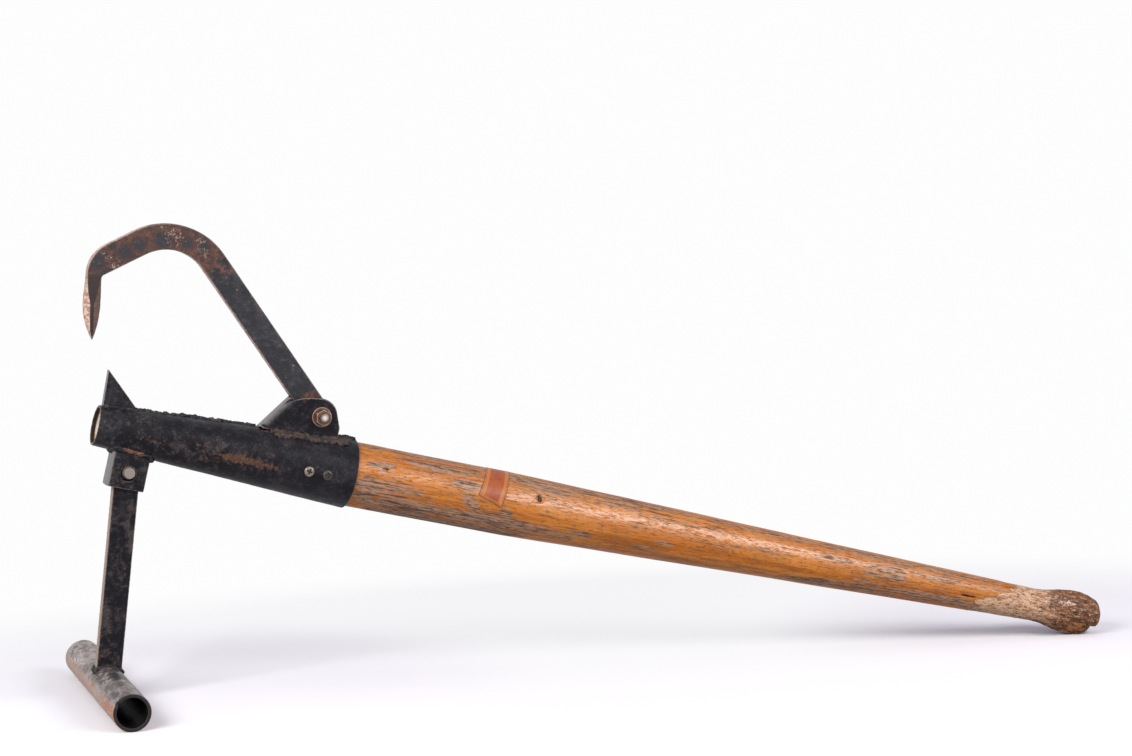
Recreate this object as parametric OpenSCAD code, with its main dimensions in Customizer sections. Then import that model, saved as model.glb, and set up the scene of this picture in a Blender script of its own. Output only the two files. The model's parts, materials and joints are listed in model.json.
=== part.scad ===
// Cant hook with a log stand: a wooden lever in a tapered steel socket, a toe spike,
// a swinging hook on a bolted bracket and a pinned stand with a tubular foot.
// Millimetres. The tool stands on its foot tube and on the knob of its handle.
// Within the tool, x runs from the toe to the handle's end and z away from the axis.

/* [Socket] */
// Outside diameter at the open toe
toe_d = 39.8; // [38:0.2:46]
// Outside diameter where the handle enters
socket_rear_d = 70.5; // [66:0.5:76]
// Length along the axis
socket_len = 260; // [250:1:300]
// Thickness of the rolled sheet
socket_wall = 2.5; // [2:0.25:3.5]
// Radius of the weld bead along the top seam
seam_bead_r = 1.8; // [1.4:0.1:3]

/* [Handle] */
// Length of the tapered end inside the socket
tenon_len = 190; // [120:1:210]
// Parallel length behind the socket
parallel_len = 172; // [120:1:220]
// Length of the taper from there to the neck
taper_len = 632; // [500:1:800]
// Diameter of the neck
neck_d = 36; // [30:0.5:42]
// Diameter of the knob
knob_d = 48.6; // [44:0.2:56]
// Length from the neck to the widest part of the knob
knob_rise = 50; // [35:1:70]
// Radius of the knob's crown along the handle
knob_crown_r = 60; // [45:1:90]
// Length of the crown behind the widest part
knob_crown_len = 22; // [16:1:28]
// Length of the rounded end
knob_end_len = 11.5; // [8:0.5:20]
// Gap round the tenon in the socket
tenon_gap = 0.1; // [0.05:0.05:0.3]

/* [Toe spike] */
// Thickness of the plate
spike_t = 8; // [6:0.5:10]
// Distance of its front edge from the toe
spike_setback = 3.5; // [2:0.5:8]
// Length of its foot
spike_base = 34; // [26:1:42]
// Height of its apex above the socket
spike_height = 36; // [24:1:46]
// How far the apex leans out past its front edge
spike_lean = 2.6; // [0:0.2:5]
// Radius of the beads along its foot
spike_bead_r = 3; // [2:0.25:4]

/* [Hook bracket] */
// Thickness of the bent plate
plate_t = 6; // [4:0.5:7]
// Inside radius of the two bends
bend_r = 2; // [1:0.5:4]
// Distance from the socket's rear end to the foot of the sloping web
web_setback = 101.5; // [96:0.5:105]
// Slope of the web from the tool's axis
web_slope = 54; // [50:1:58]
// Height of the web above the socket
web_height = 36.5; // [34:0.5:38]
// Radius of the cheeks' round top
cheek_r = 18.3; // [17:0.1:20]
// How far the round top stands ahead of the bolt
cheek_lead = 1.8; // [0:0.1:3]
// Lean of the cheeks' rear edge under the round top
cheek_rake = 22; // [10:1:30]
// Distance of the cheeks' rear foot behind the bolt
cheek_heel = 21; // [19:0.5:24]
// Radius ground on the front corner of the near cheek
near_corner_r = 46; // [20:1:50]
// How far the notch for the shank is cut into each bend
notch_relief = 0.5; // [0.3:0.1:1]
// Radius of the beads along the cheeks
cheek_bead_r = 4; // [2.5:0.25:5]

/* [Hook pivot] */
// Distance of the bolt from the socket's rear end
pivot_setback = 42.5; // [38:0.5:46]
// Height of the bolt above the tool's axis
pivot_z = 51.2; // [50:0.2:54]
// Diameter of the bolt
bolt_d = 9.5; // [8:0.5:10]
// Width across the flats of the nut and the bolt's head
nut_flats = 14.6; // [13:0.1:17]
// Thickness of the nut
nut_t = 8; // [6:0.25:9]
// Slope of the chamfer on the nut and the bolt's head
nut_chamfer = 30; // [20:1:40]
// Turn of the nut on the bolt
nut_turn = 20; // [0:1:60]
// Thickness of the bolt's head
bolt_head_t = 6; // [4:0.25:8]
// Outside diameter of the washer
washer_d = 20; // [19:0.5:24]
// Thickness of the washer
washer_t = 2; // [1:0.25:3]
// Length of bolt that stands out of the nut
bolt_proud = 2.5; // [1:0.25:5]
// Radial gap round the bolt in the hook
hook_running_gap = 0.08; // [0.02:0.02:0.1]
// Radial gap round the bolt in the bracket, the washer and the nut
bolt_gap = 0.1; // [0.05:0.05:0.3]
// Gap on each side of the hook in its bracket
hook_side_gap = 0.5; // [0.3:0.1:1]
// Gap between the resting hook and its stop
stop_gap = 0.3; // [0.2:0.1:0.5]

/* [Hook] */
// Width of the bar
hook_w = 25.4; // [22:0.2:27]
// Thickness of the bar
hook_t = 12; // [10:0.5:14]
// Length of the shank from the bolt to the knee
shank_len = 189; // [170:1:210]
// Radius of the knee along the middle of the bar
knee_r = 57; // [45:0.5:70]
// Turn of the knee
knee_turn = 81; // [75:1:90]
// Length of the arm from the knee to the corner of the elbow
arm_len = 49.6; // [42:0.2:60]
// Turn of the elbow
elbow_turn = 62.5; // [56:0.5:68]
// Inside radius of the elbow
elbow_r = 3; // [2:0.5:5]
// Radius of the elbow's back
elbow_back_r = 34; // [28:0.5:36]
// Length from the elbow's corner to the tip of the point
point_len = 73.6; // [66:0.2:84]
// Width of the point at its root
point_root_w = 14.2; // [12:0.2:17]
// Greatest width of the point
point_w = 17.4; // [15:0.2:20]
// How far the middle of the point bows outwards
point_bow = 1.4; // [0:0.1:3]
// Share of the point's length where it is widest
point_belly = 0.41; // [0.3:0.01:0.5]
// Width of the flat left along the point's sides
point_flat_w = 4; // [2:0.25:6]
// Thickness left at the edges of the point
point_edge_t = 1.5; // [1:0.1:3]
// Width and thickness of the blunted tip
point_tip_w = 0.6; // [0.4:0.1:1.5]
// Lean of the resting shank from the tool's axis
hook_lean = 42.9; // [41:0.1:45]

/* [Stand bracket] */
// Outside width of the tube along the tool
tube_w = 38.1; // [36:0.1:42]
// Outside depth of the tube across the tool
tube_depth = 25.4; // [24:0.2:32]
// Wall of the tube
tube_wall = 3; // [2.5:0.25:3.5]
// Outside radius of the tube's corners
tube_corner_r = 5; // [4:0.25:7]
// Distance of the tube's lower end from the tool's axis
tube_reach = 55.2; // [52:0.2:60]
// Radius of the bead round its top
tube_bead_r = 3.5; // [2:0.25:4.5]

/* [Stand pin] */
// Distance of the pin from the toe
pin_x = 39.5; // [37:0.1:46]
// Distance of the pin below the tool's axis
pin_drop = 38.7; // [38:0.1:41]
// Diameter of the pin
pin_d = 12; // [10:0.25:13]
// Diameter of the loose holes in the bracket
pin_hole_d = 15; // [14:0.25:16]
// Diameter of the pin's head
pin_head_d = 20; // [18:0.5:24]
// Thickness of the pin's head
pin_head_t = 4; // [2:0.25:6]
// Length of pin that stands out on the near side
pin_proud = 7; // [1:0.25:10]
// Radial gap between the stem's hole and the pin
pin_running_gap = 0.1; // [0.02:0.02:0.1]
// Gap where the bracket's holes hang on the pin
pin_seat_gap = 0.3; // [0.2:0.05:0.5]

/* [Stand] */
// Width of the stem
stem_w = 25; // [22:0.5:26]
// Thickness of the stem
stem_t = 12; // [10:0.5:14]
// Distance from the pin to the middle of the foot tube
stem_len = 211; // [180:1:260]
// Lean of the stem from its bracket towards the handle
stem_lean = 6.9; // [4:0.1:8]
// Outside diameter of the foot tube
foot_d = 36.6; // [32:0.2:44]
// Wall of the foot tube
foot_wall = 3.6; // [2.5:0.1:5]
// Length of the foot tube
foot_len = 276; // [220:1:340]
// Radius of the bead round the stem's foot
stem_bead_r = 3.5; // [2:0.25:5]

/* [Screws and label] */
// Distance of the rear screw from the socket's rear end
screw_setback = 29.5; // [22:0.5:60]
// Distance between the two screws
screw_pitch = 19; // [14:0.5:30]
// Distance of the screws below the middle of the near side
screw_drop = 3; // [0:0.5:8]
// Diameter of the screw heads
screw_head_d = 10.4; // [8:0.2:12]
// Height of the screw heads
screw_head_h = 2.4; // [2:0.2:3.4]
// Width of the cross in the screw heads
slot_w = 1.8; // [1.2:0.1:2.4]
// Length of the cross in the screw heads
slot_len = 5.2; // [4:0.2:6]
// Depth of the cross in the screw heads
slot_depth = 1.6; // [1:0.1:1.8]
// Diameter of the screw shanks
screw_d = 4.4; // [3.4:0.2:5.4]
// Length of the screws in the wood
screw_len = 24; // [16:1:28]
// Gap round the screw shanks
screw_gap = 0.1; // [0.05:0.05:0.3]
// Distance of the label from the socket
label_setback = 134; // [90:1:140]
// Width of the label along the handle
label_w = 28; // [20:1:31]
// Angle that the label wraps round the handle
label_wrap = 92; // [60:1:130]
// Thickness of the label
label_t = 0.25; // [0.15:0.05:0.4]
// Gap between the label and the wood
label_gap = 0.05; // [0.05:0.01:0.1]

/* [Hidden] */
$fn = 64;

paint = [0.13, 0.13, 0.14];
rust = [0.36, 0.22, 0.15];
bare_steel = [0.62, 0.6, 0.57];
wood = [0.74, 0.48, 0.26];

toe_r = toe_d / 2;
socket_rear_r = socket_rear_d / 2;
butt_r = socket_rear_r - socket_wall - tenon_gap;
neck_r = neck_d / 2;
knob_r = knob_d / 2;
web_foot = socket_len - web_setback;
pivot_x = socket_len - pivot_setback;
heel_x = pivot_x + cheek_heel;
neck_x = socket_len + parallel_len + taper_len;
knob_x = neck_x + knob_rise;
foot_r = foot_d / 2;
hook_half_w = hook_w / 2;
bracket_gap = hook_t + 2 * hook_side_gap;
bracket_w = bracket_gap + 2 * plate_t;
cheek_y = bracket_w / 2;
spike_rear = spike_setback + spike_base;
// Past any part of the tool, for cuts that go right through
far = 400;
// Cuts run this far past the faces that they open
over = 1;

// Radius of the socket's outside at a distance from the toe
function socket_r(x) = toe_r + (socket_rear_r - toe_r) * x / socket_len;
// Height of the socket's outside over the axis at a distance to one side
function skin_z(x, y) = sqrt(pow(socket_r(x), 2) - y * y);
// Points of an arc, angles from a to b in steps
function arc(r, a, b, steps) = [for (i = [0:steps]) r * [cos(a + (b - a) * i / steps),
    sin(a + (b - a) * i / steps)]];

// Standing pose: the foot tube and the knob's crown both touch the ground.
foot_x = pin_x + stem_len * sin(stem_lean);
foot_z = -pin_drop - stem_len * cos(stem_lean);
crown_z = knob_crown_r - knob_r;
run = knob_x - foot_x;
drop = foot_z - crown_z;
tilt = asin((foot_r - knob_crown_r) / norm([run, drop])) - atan2(drop, run);

// Tool coordinates to the standing pose, origin on the ground under the foot tube
module tool_frame() {
    translate([-foot_x * cos(tilt) - foot_z * sin(tilt), 0,
               foot_r + foot_x * sin(tilt) - foot_z * cos(tilt)])
        rotate([0, tilt, 0]) children();
}

// Extrudes an outline drawn in the tool's side view
module side_plate(t) {
    rotate([90, 0, 0]) linear_extrude(t, center = true) children();
}

// A round bar across the tool, from y1 to y2
module cross_bar(r, y1, y2) {
    translate([0, y2, 0]) rotate([90, 0, 0]) cylinder(r = r, h = y2 - y1);
}

// A round bar between two points
module rod(a, b, r) {
    d = b - a;
    translate(a) rotate([0, acos(d[2] / norm(d)), atan2(d[1], d[0])]) cylinder(r = r, h = norm(d));
}

// A weld bead along the socket's outside, at a distance to one side
module socket_bead(x1, x2, y, r, sign = 1) {
    rod([x1, y, sign * skin_z(x1, y)], [x2, y, sign * skin_z(x2, y)], r);
}

// The socket's outside as a solid
module socket_body() {
    rotate([0, 90, 0]) cylinder(r1 = toe_r, r2 = socket_rear_r, h = socket_len);
}

// The tapered space inside the socket
module socket_bore(gap = 0) {
    rotate([0, 90, 0]) translate([0, 0, -over])
        cylinder(r1 = socket_r(-over) - socket_wall - gap,
                 r2 = socket_r(socket_len + over) - socket_wall - gap, h = socket_len + 2 * over);
}

module seam_rods() {
    front_start = spike_rear + spike_bead_r;
    front_end = web_foot - over;
    rear_start = heel_x + over;
    socket_bead(front_start, front_end, 0, seam_bead_r);
    socket_bead(rear_start, socket_len - over, 0, seam_bead_r);
}

// Distance of a screw from the toe
function screw_x(i) = socket_len - screw_setback - i * screw_pitch;
// Distance of the screw points from the middle of the tool
screw_root = socket_r(screw_x(0)) - socket_wall - screw_len;

// Places a screw with its axis pointing out of the near side
module at_screw(i) {
    translate([screw_x(i), 0, -screw_drop]) rotate([90, 0, 0]) children();
}

// The two screw holes, from a distance off the middle outwards
module screw_holes(start) {
    for (i = [0:1]) at_screw(i)
        translate([0, 0, start]) cylinder(r = screw_d / 2 + screw_gap, h = far);
}

// Half profile of the handle: distance along the tool, radius
tenon_x = socket_len - tenon_len;
knob_neck = [for (i = [0:8]) [neck_x + knob_rise * i / 8,
    neck_r + (knob_r - neck_r) * (1 - cos(180 * i / 8)) / 2]];
crown_angle = asin(knob_crown_len / knob_crown_r);
knob_crown = [for (p = arc(knob_crown_r, 90, 90 - crown_angle, 8)) [knob_x + p[0], p[1] - crown_z]];
end_x = knob_x + knob_crown_len;
end_r = knob_crown[8][1];
knob_end = [for (p = arc(1, 90, 0, 8)) [end_x + knob_end_len * p[0], end_r * p[1]]];
function tail(list) = [for (i = [1:len(list) - 1]) list[i]];

module handle() {
    tenon_r = socket_r(tenon_x) - socket_wall - tenon_gap;
    profile = concat([[tenon_x, 0], [tenon_x, tenon_r], [socket_len, butt_r],
        [socket_len + parallel_len, butt_r]], knob_neck, tail(knob_crown), tail(knob_end));
    color(wood) tool_frame() difference() {
        rotate([0, 90, 0]) rotate_extrude() polygon([for (p = profile) [p[1], p[0]]]);
        screw_holes(screw_root - screw_gap);
    }
}

module socket() {
    color(paint) tool_frame() difference() {
        socket_body();
        socket_bore();
        seam_rods();
        screw_holes(0);
    }
}

module seam_weld() {
    color(paint) tool_frame() seam_rods();
}

module spike_solid() {
    apex = [spike_setback - spike_lean, toe_r + spike_height];
    side_plate(spike_t) polygon([[spike_setback, 0], apex,
        [spike_rear, socket_r(spike_rear)], [spike_rear, 0]]);
}

module toe_spike() {
    color(paint) tool_frame() difference() {
        spike_solid();
        socket_body();
    }
}

module toe_spike_weld() {
    color(paint) tool_frame() difference() {
        for (side = [-1, 1])
            socket_bead(spike_setback, spike_rear, side * spike_t / 2, spike_bead_r);
        socket_body();
        spike_solid();
    }
}

// Side view of the bracket: the web's outer face, the brow, the round top and the raked rear edge
web_top = [web_foot + web_height / tan(web_slope), socket_r(web_foot) + web_height];
cheek_top = [pivot_x - cheek_lead, pivot_z];
to_cheek = cheek_top - web_top;
brow_angle = atan2(to_cheek[1], to_cheek[0]) + asin(cheek_r / norm(to_cheek));
brow_steps = 18;

module bracket_outline() {
    web_root = [web_foot - socket_r(web_foot) / tan(web_slope), 0];
    round_top = [for (p = arc(cheek_r, 90 + brow_angle, cheek_rake, brow_steps)) cheek_top + p];
    rear = round_top[brow_steps];
    heel_z = rear[1] - (heel_x - rear[0]) / tan(cheek_rake);
    polygon(concat([web_root, web_top], round_top, [[heel_x, heel_z], [heel_x, 0]]));
}

// What is ground off the front corner of the near cheek, in side view
module near_corner() {
    reach = near_corner_r * tan((web_slope - brow_angle) / 2);
    start = web_top - reach * [cos(web_slope), sin(web_slope)];
    centre = start + near_corner_r * [sin(web_slope), -cos(web_slope)];
    ground = [for (p = arc(near_corner_r, 90 + web_slope, 90 + brow_angle, brow_steps)) centre + p];
    polygon(concat(ground, [[ground[brow_steps][0], far], [-far, far], [-far, start[1]]]));
}

// Section of the bent plate, web at x = 0 and open towards +x
module u_section(depth) {
    outer_r = bend_r + plate_t;
    difference() {
        union() {
            translate([outer_r, -bracket_w / 2]) square([depth, bracket_w]);
            translate([0, outer_r - bracket_w / 2]) square([depth, bracket_w - 2 * outer_r]);
            for (side = [-1, 1]) translate([outer_r, side * (bracket_w / 2 - outer_r)])
                circle(r = outer_r);
        }
        translate([plate_t + bend_r, -bracket_gap / 2]) square([depth, bracket_gap]);
        translate([plate_t, bend_r - bracket_gap / 2]) square([depth, bracket_gap - 2 * bend_r]);
        for (side = [-1, 1]) translate([plate_t + bend_r, side * (bracket_gap / 2 - bend_r)])
            circle(r = bend_r);
    }
}

// Web coordinates: z up the outer face of the web, x into the bracket
module web_frame() {
    translate([web_foot, 0, socket_r(web_foot)]) rotate([0, 90 - web_slope, 0])
        translate([0, 0, -far / 2]) children();
}

module bracket_solid() {
    intersection() {
        side_plate(bracket_w + over) bracket_outline();
        web_frame() linear_extrude(far) u_section(far);
    }
}

// Hook coordinates: x along the shank from the bolt, z towards the jaw
module hook_frame() {
    translate([pivot_x, 0, pivot_z]) rotate([0, hook_lean - 180, 0]) children();
}

module hook_bracket() {
    color(paint) tool_frame() difference() {
        bracket_solid();
        socket_body();
        translate([pivot_x, 0, pivot_z]) cross_bar(bolt_d / 2 + bolt_gap, -far, far);
        translate([0, notch_relief - (bracket_gap + far) / 2, 0]) side_plate(far) near_corner();
        // The web's top is notched down to the resting shank
        notch_w = bracket_gap + 2 * notch_relief;
        intersection() {
            hook_frame() translate([0, -notch_w / 2, -far])
                cube([far, notch_w, far + hook_half_w + stop_gap]);
            web_frame() translate([-over, -far / 2, 0]) cube([over + plate_t + bend_r, far, far]);
        }
    }
}

module cheek_weld(side) {
    color(paint) tool_frame() difference() {
        socket_bead(web_foot + plate_t, heel_x, side * cheek_y, cheek_bead_r);
        socket_body();
        bracket_solid();
    }
}

module hook_bracket_weld_near() { cheek_weld(-1); }

module hook_bracket_weld_far() { cheek_weld(1); }

module rounded_box(w, d, r) {
    square([w, d - 2 * r], center = true);
    square([w - 2 * r, d], center = true);
    for (a = [-1, 1], b = [-1, 1]) translate([a * (w / 2 - r), b * (d / 2 - r)]) circle(r = r);
}

module tube_solid() {
    translate([pin_x, 0, -tube_reach]) linear_extrude(tube_reach)
        rounded_box(tube_w, tube_depth, tube_corner_r);
}

module stand_bracket() {
    hole_z = -pin_drop - (pin_hole_d - pin_d) / 2 + pin_seat_gap;
    color(paint) tool_frame() difference() {
        tube_solid();
        translate([pin_x, 0, -tube_reach - over]) linear_extrude(tube_reach)
            rounded_box(tube_w - 2 * tube_wall, tube_depth - 2 * tube_wall, tube_corner_r - tube_wall);
        translate([pin_x, 0, hole_z]) cross_bar(pin_hole_d / 2, -far, far);
        socket_body();
    }
}

// A cone along the tool that stands out of the socket by the leg at x1 and dips under it past x2
module socket_fillet(x1, x2, leg) {
    turn = x2 > x1 ? 90 : -90;
    translate([x1, 0, 0]) rotate([0, turn, 0])
        cylinder(r1 = socket_r(x1) + leg, r2 = socket_r(2 * x2 - x1) - leg, h = 2 * abs(x2 - x1));
}

module stand_bracket_weld() {
    front_x = pin_x - tube_w / 2;
    rear_x = pin_x + tube_w / 2;
    half = tube_depth / 2;
    leg = tube_bead_r;
    color(paint) tool_frame() difference() {
        union() {
            for (side = [-1, 1])
                socket_bead(front_x - leg, rear_x + leg, side * half, leg, -1);
            intersection() {
                union() {
                    socket_fillet(front_x, front_x - leg, leg);
                    socket_fillet(rear_x, rear_x + leg, leg);
                }
                translate([0, -half, -far]) cube([far, tube_depth, far]);
            }
        }
        socket_body();
        tube_solid();
    }
}

// Head of a screw on a skin at a distance from the middle, domed and cut with a cross
module screw_head(skin) {
    dome_r = (pow(screw_head_d / 2, 2) + pow(screw_head_h, 2)) / (2 * screw_head_h);
    difference() {
        intersection() {
            translate([0, 0, skin + screw_head_h - dome_r]) sphere(r = dome_r);
            translate([0, 0, skin - over]) cylinder(r = screw_head_d / 2, h = far);
        }
        for (a = [0, 90]) rotate([0, 0, a])
            translate([-slot_len / 2, -slot_w / 2, skin + screw_head_h - slot_depth])
                cube([slot_len, slot_w, far]);
    }
}

module handle_screws() {
    color(bare_steel) tool_frame() for (i = [0:1]) {
        skin = socket_r(screw_x(i));
        at_screw(i) translate([0, 0, screw_root]) cylinder(r = screw_d / 2, h = skin - screw_root);
        difference() {
            at_screw(i) screw_head(skin);
            socket_body();
        }
    }
}

module label() {
    inner = butt_r + label_gap;
    color("tan") tool_frame() translate([socket_len + label_setback, 0, 0])
        rotate([0, 90, 0]) rotate([0, 0, -90 - label_wrap]) rotate_extrude(angle = label_wrap)
            translate([inner, 0]) square([label_t, label_w]);
}

nut_corner_r = nut_flats / sqrt(3);

// Hexagon prism with its outer corners turned off
module hexagon(t) {
    intersection() {
        cylinder(r = nut_corner_r, h = t, $fn = 6);
        cylinder(r1 = nut_flats / 2 + t / tan(nut_chamfer), r2 = nut_flats / 2, h = t);
    }
}

// Bolt coordinates: z out of the near side
module pivot_frame() {
    tool_frame() translate([pivot_x, 0, pivot_z]) rotate([90, nut_turn, 0]) children();
}

module pivot_bolt() {
    near = cheek_y + washer_t + nut_t + bolt_proud;
    color(bare_steel) pivot_frame() {
        translate([0, 0, -cheek_y]) cylinder(r = bolt_d / 2, h = cheek_y + near);
        translate([0, 0, -cheek_y]) mirror([0, 0, 1]) hexagon(bolt_head_t);
    }
}

module pivot_washer() {
    color(rust) pivot_frame() translate([0, 0, cheek_y]) difference() {
        cylinder(r = washer_d / 2, h = washer_t);
        translate([0, 0, -over]) cylinder(r = bolt_d / 2 + bolt_gap, h = washer_t + 2 * over);
    }
}

module pivot_nut() {
    color(rust) pivot_frame() translate([0, 0, cheek_y + washer_t]) difference() {
        hexagon(nut_t);
        translate([0, 0, -over]) cylinder(r = bolt_d / 2 + bolt_gap, h = nut_t + 2 * over);
    }
}

// Directions of the bar after a turn, and of its back
function along(turn) = [cos(turn), sin(turn)];
function back(turn) = [sin(turn), -cos(turn)];

// The knee, and the corner where the middle lines of the arm and the point meet
knee_centre = [shank_len, knee_r];
knee_end = knee_centre + knee_r * back(knee_turn);
elbow = knee_end + arm_len * along(knee_turn);
point_turn = knee_turn + elbow_turn;
elbow_steps = 8;

// How far past the elbow the arm's edge runs to its corner, on the back (1) or the inside (-1)
function edge_corner(side) = side * (point_root_w / 2 - hook_half_w * cos(elbow_turn)) / sin(elbow_turn);
// Arc of the elbow on one side, and where it ends along the point
function elbow_arc(side, r) =
    let (c = elbow + (edge_corner(side) - r * tan(elbow_turn / 2)) * along(knee_turn)
             + (side * hook_half_w - r) * back(knee_turn))
    [for (i = [0:elbow_steps]) c + r * back(knee_turn + elbow_turn * i / elbow_steps)];
function elbow_arc_end(side, r) = edge_corner(side) * cos(elbow_turn)
    - side * hook_half_w * sin(elbow_turn) + r * tan(elbow_turn / 2);
point_start = max(elbow_arc_end(1, elbow_back_r), elbow_arc_end(-1, elbow_r));

// The point at a share x of its length: half width, half thickness and how far it is bevelled
point_shares = [0.1, 0.2, 0.3, point_belly, 0.52, 0.63, 0.74, 0.84, 0.93, 1];
first_bevel = 0.03;
thickness_power = 2.6;
function past_belly(x) = max(0, (x - point_belly) / (1 - point_belly));
function before_belly(x) = min(1, max(0, x / point_belly));
function point_half_w(x) = max(point_tip_w, (1 - pow(past_belly(x), 2))
    * (point_root_w + (point_w - point_root_w) * (1 - cos(180 * before_belly(x))) / 2)) / 2;
function point_half_t(x) = max(point_tip_w, hook_t * (1 - pow(past_belly(x), thickness_power))) / 2;
function point_bevel(x) = max(first_bevel, before_belly(x));
function point_flat(x) = point_half_w(x)
    + (min(point_flat_w / 2, point_half_w(x) / 2) - point_half_w(x)) * point_bevel(x);
function point_edge(x) = point_half_t(x)
    + (min(point_edge_t / 2, point_half_t(x) / 2) - point_half_t(x)) * point_bevel(x);
function point_mid(x) = elbow + (point_start + (point_len - point_start) * x) * along(point_turn)
    + point_bow * sin(180 * x) * back(point_turn);

// Eight-cornered section of the point, as points of the hook's frame
function point_ring(c, w, f, t, e) = let (b = back(point_turn))
    [for (p = [[w, e], [f, t], [-f, t], [-w, e], [-w, -e], [-f, -t], [f, -t], [w, -e]])
        [c[0] + p[0] * b[0], p[1], c[1] + p[0] * b[1]]];
// The first section lies inside the elbow and is a little smaller than the bar
root_sink = 4;
root_share = 0.97;
root_ring = point_ring(point_mid(0) - root_sink * along(point_turn), root_share * point_half_w(0),
    root_share * point_flat(0), root_share * point_half_t(0), root_share * point_edge(0));
point_rings = [for (x = point_shares)
    point_ring(point_mid(x), point_half_w(x), point_flat(x), point_half_t(x), point_edge(x))];

// A solid through rings of as many points each
module loft(rings) {
    n = len(rings[0]);
    last = len(rings) - 1;
    points = [for (r = rings, p = r) p];
    sides = [for (i = [0:last - 1], j = [0:n - 1], half = [0, 1]) let (k = (j + 1) % n)
        half == 0 ? [i * n + k, i * n + j, (i + 1) * n + j]
                  : [(i + 1) * n + k, i * n + k, (i + 1) * n + j]];
    start = [for (j = [1:n - 2]) [0, j, j + 1]];
    end = [for (j = [1:n - 2]) [last * n, last * n + j + 1, last * n + j]];
    polyhedron(points, concat(sides, start, end));
}

// Side view of the bar: straight edges and elbow, the knee's outside added and its inside cut away
module hook_outline() {
    root = elbow + point_start * along(point_turn);
    inside = elbow_arc(-1, elbow_r);
    difference() {
        union() {
            circle(r = hook_half_w);
            polygon(concat([[0, -hook_half_w], [shank_len, -hook_half_w],
                knee_end + hook_half_w * back(knee_turn)], elbow_arc(1, elbow_back_r),
                [for (side = [1, -1]) root + side * point_root_w / 2 * back(point_turn)],
                [for (i = [elbow_steps:-1:0]) inside[i]],
                [knee_end - hook_half_w * back(knee_turn), [shank_len, hook_half_w], [0, hook_half_w]]));
            translate(knee_centre) intersection() {
                circle(r = knee_r + hook_half_w);
                polygon([[0, 0], [0, -far], far * [1, -1], far * back(knee_turn)]);
            }
        }
        translate(knee_centre) circle(r = knee_r - hook_half_w);
    }
}

module hook() {
    color(rust) tool_frame() hook_frame() difference() {
        union() {
            side_plate(hook_t) hook_outline();
            loft(concat([root_ring], point_rings));
        }
        cross_bar(bolt_d / 2 + hook_running_gap, -far, far);
    }
}

module stand_pin() {
    half = tube_depth / 2;
    color(bare_steel) tool_frame() translate([pin_x, 0, -pin_drop]) {
        cross_bar(pin_d / 2, -half - pin_proud, half);
        cross_bar(pin_head_d / 2, half, half + pin_head_t);
    }
}

// Stand coordinates: z up the stem, origin at the pin
module stand_frame() {
    tool_frame() translate([pin_x, 0, -pin_drop]) rotate([0, -stem_lean, 0]) children();
}

module stem_solid() {
    side_plate(stem_t) {
        circle(r = stem_w / 2);
        translate([-stem_w / 2, -stem_len]) square([stem_w, stem_len]);
    }
}

module foot_solid() {
    translate([0, 0, -stem_len]) cross_bar(foot_r, -foot_len / 2, foot_len / 2);
}

module stand_stem() {
    color(paint) stand_frame() difference() {
        stem_solid();
        foot_solid();
        cross_bar(pin_d / 2 + pin_running_gap, -far, far);
    }
}

module stem_weld() {
    seat_z = sqrt(pow(foot_r, 2) - pow(stem_w / 2, 2));
    leg = stem_bead_r;
    color(paint) stand_frame() difference() {
        translate([0, 0, -stem_len]) for (side = [-1, 1]) {
            translate([side * stem_w / 2, 0, seat_z])
                cross_bar(leg, -stem_t / 2 - leg, stem_t / 2 + leg);
            intersection() {
                rotate([side * 90, 0, 0]) translate([0, 0, stem_t / 2])
                    cylinder(r1 = foot_r + leg, r2 = foot_r - leg, h = 2 * leg);
                translate([-stem_w / 2, -far, 0]) cube([stem_w, 2 * far, far]);
            }
        }
        foot_solid();
        stem_solid();
    }
}

module foot_tube() {
    color(bare_steel) stand_frame() difference() {
        foot_solid();
        translate([0, 0, -stem_len])
            cross_bar(foot_r - foot_wall, -foot_len / 2 - over, foot_len / 2 + over);
    }
}

handle();
socket();
seam_weld();
toe_spike();
toe_spike_weld();
hook_bracket();
hook_bracket_weld_near();
hook_bracket_weld_far();
stand_bracket();
stand_bracket_weld();
handle_screws();
label();
pivot_bolt();
pivot_washer();
pivot_nut();
hook();
stand_pin();
stand_stem();
stem_weld();
foot_tube();
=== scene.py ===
"""Worn steel, wood and paper for a cant hook with a log stand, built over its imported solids.

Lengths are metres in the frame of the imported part. Along the tool, s runs from the toe to
the end of the handle, y across it to the far side, and h away from the tool's axis.
Angles round the tool start on its near side and rise to a quarter turn on top.
"""

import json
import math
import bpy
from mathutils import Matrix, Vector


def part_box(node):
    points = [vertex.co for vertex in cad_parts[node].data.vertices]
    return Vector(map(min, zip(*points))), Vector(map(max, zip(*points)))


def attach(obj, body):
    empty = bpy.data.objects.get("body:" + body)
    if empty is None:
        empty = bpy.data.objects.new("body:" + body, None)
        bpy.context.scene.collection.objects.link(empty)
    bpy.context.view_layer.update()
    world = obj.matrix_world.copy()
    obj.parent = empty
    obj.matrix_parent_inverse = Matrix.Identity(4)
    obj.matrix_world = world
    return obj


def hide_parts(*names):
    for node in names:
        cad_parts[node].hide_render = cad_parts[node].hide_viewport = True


bl_info = {
    "name": "Cant hook with log stand",
    "version": (1, 0, 0),
    "blender": (4, 5, 0),
    "location": "View3D > Sidebar > Cant hook",
    "description": "Builds the worn steel, wood and paper of a cant hook over its packed solids",
    "category": "Add Mesh",
}

import bmesh
import bpy
import numpy as np
from bpy.props import FloatProperty, FloatVectorProperty, PointerProperty
from mathutils import Matrix, Vector

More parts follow.
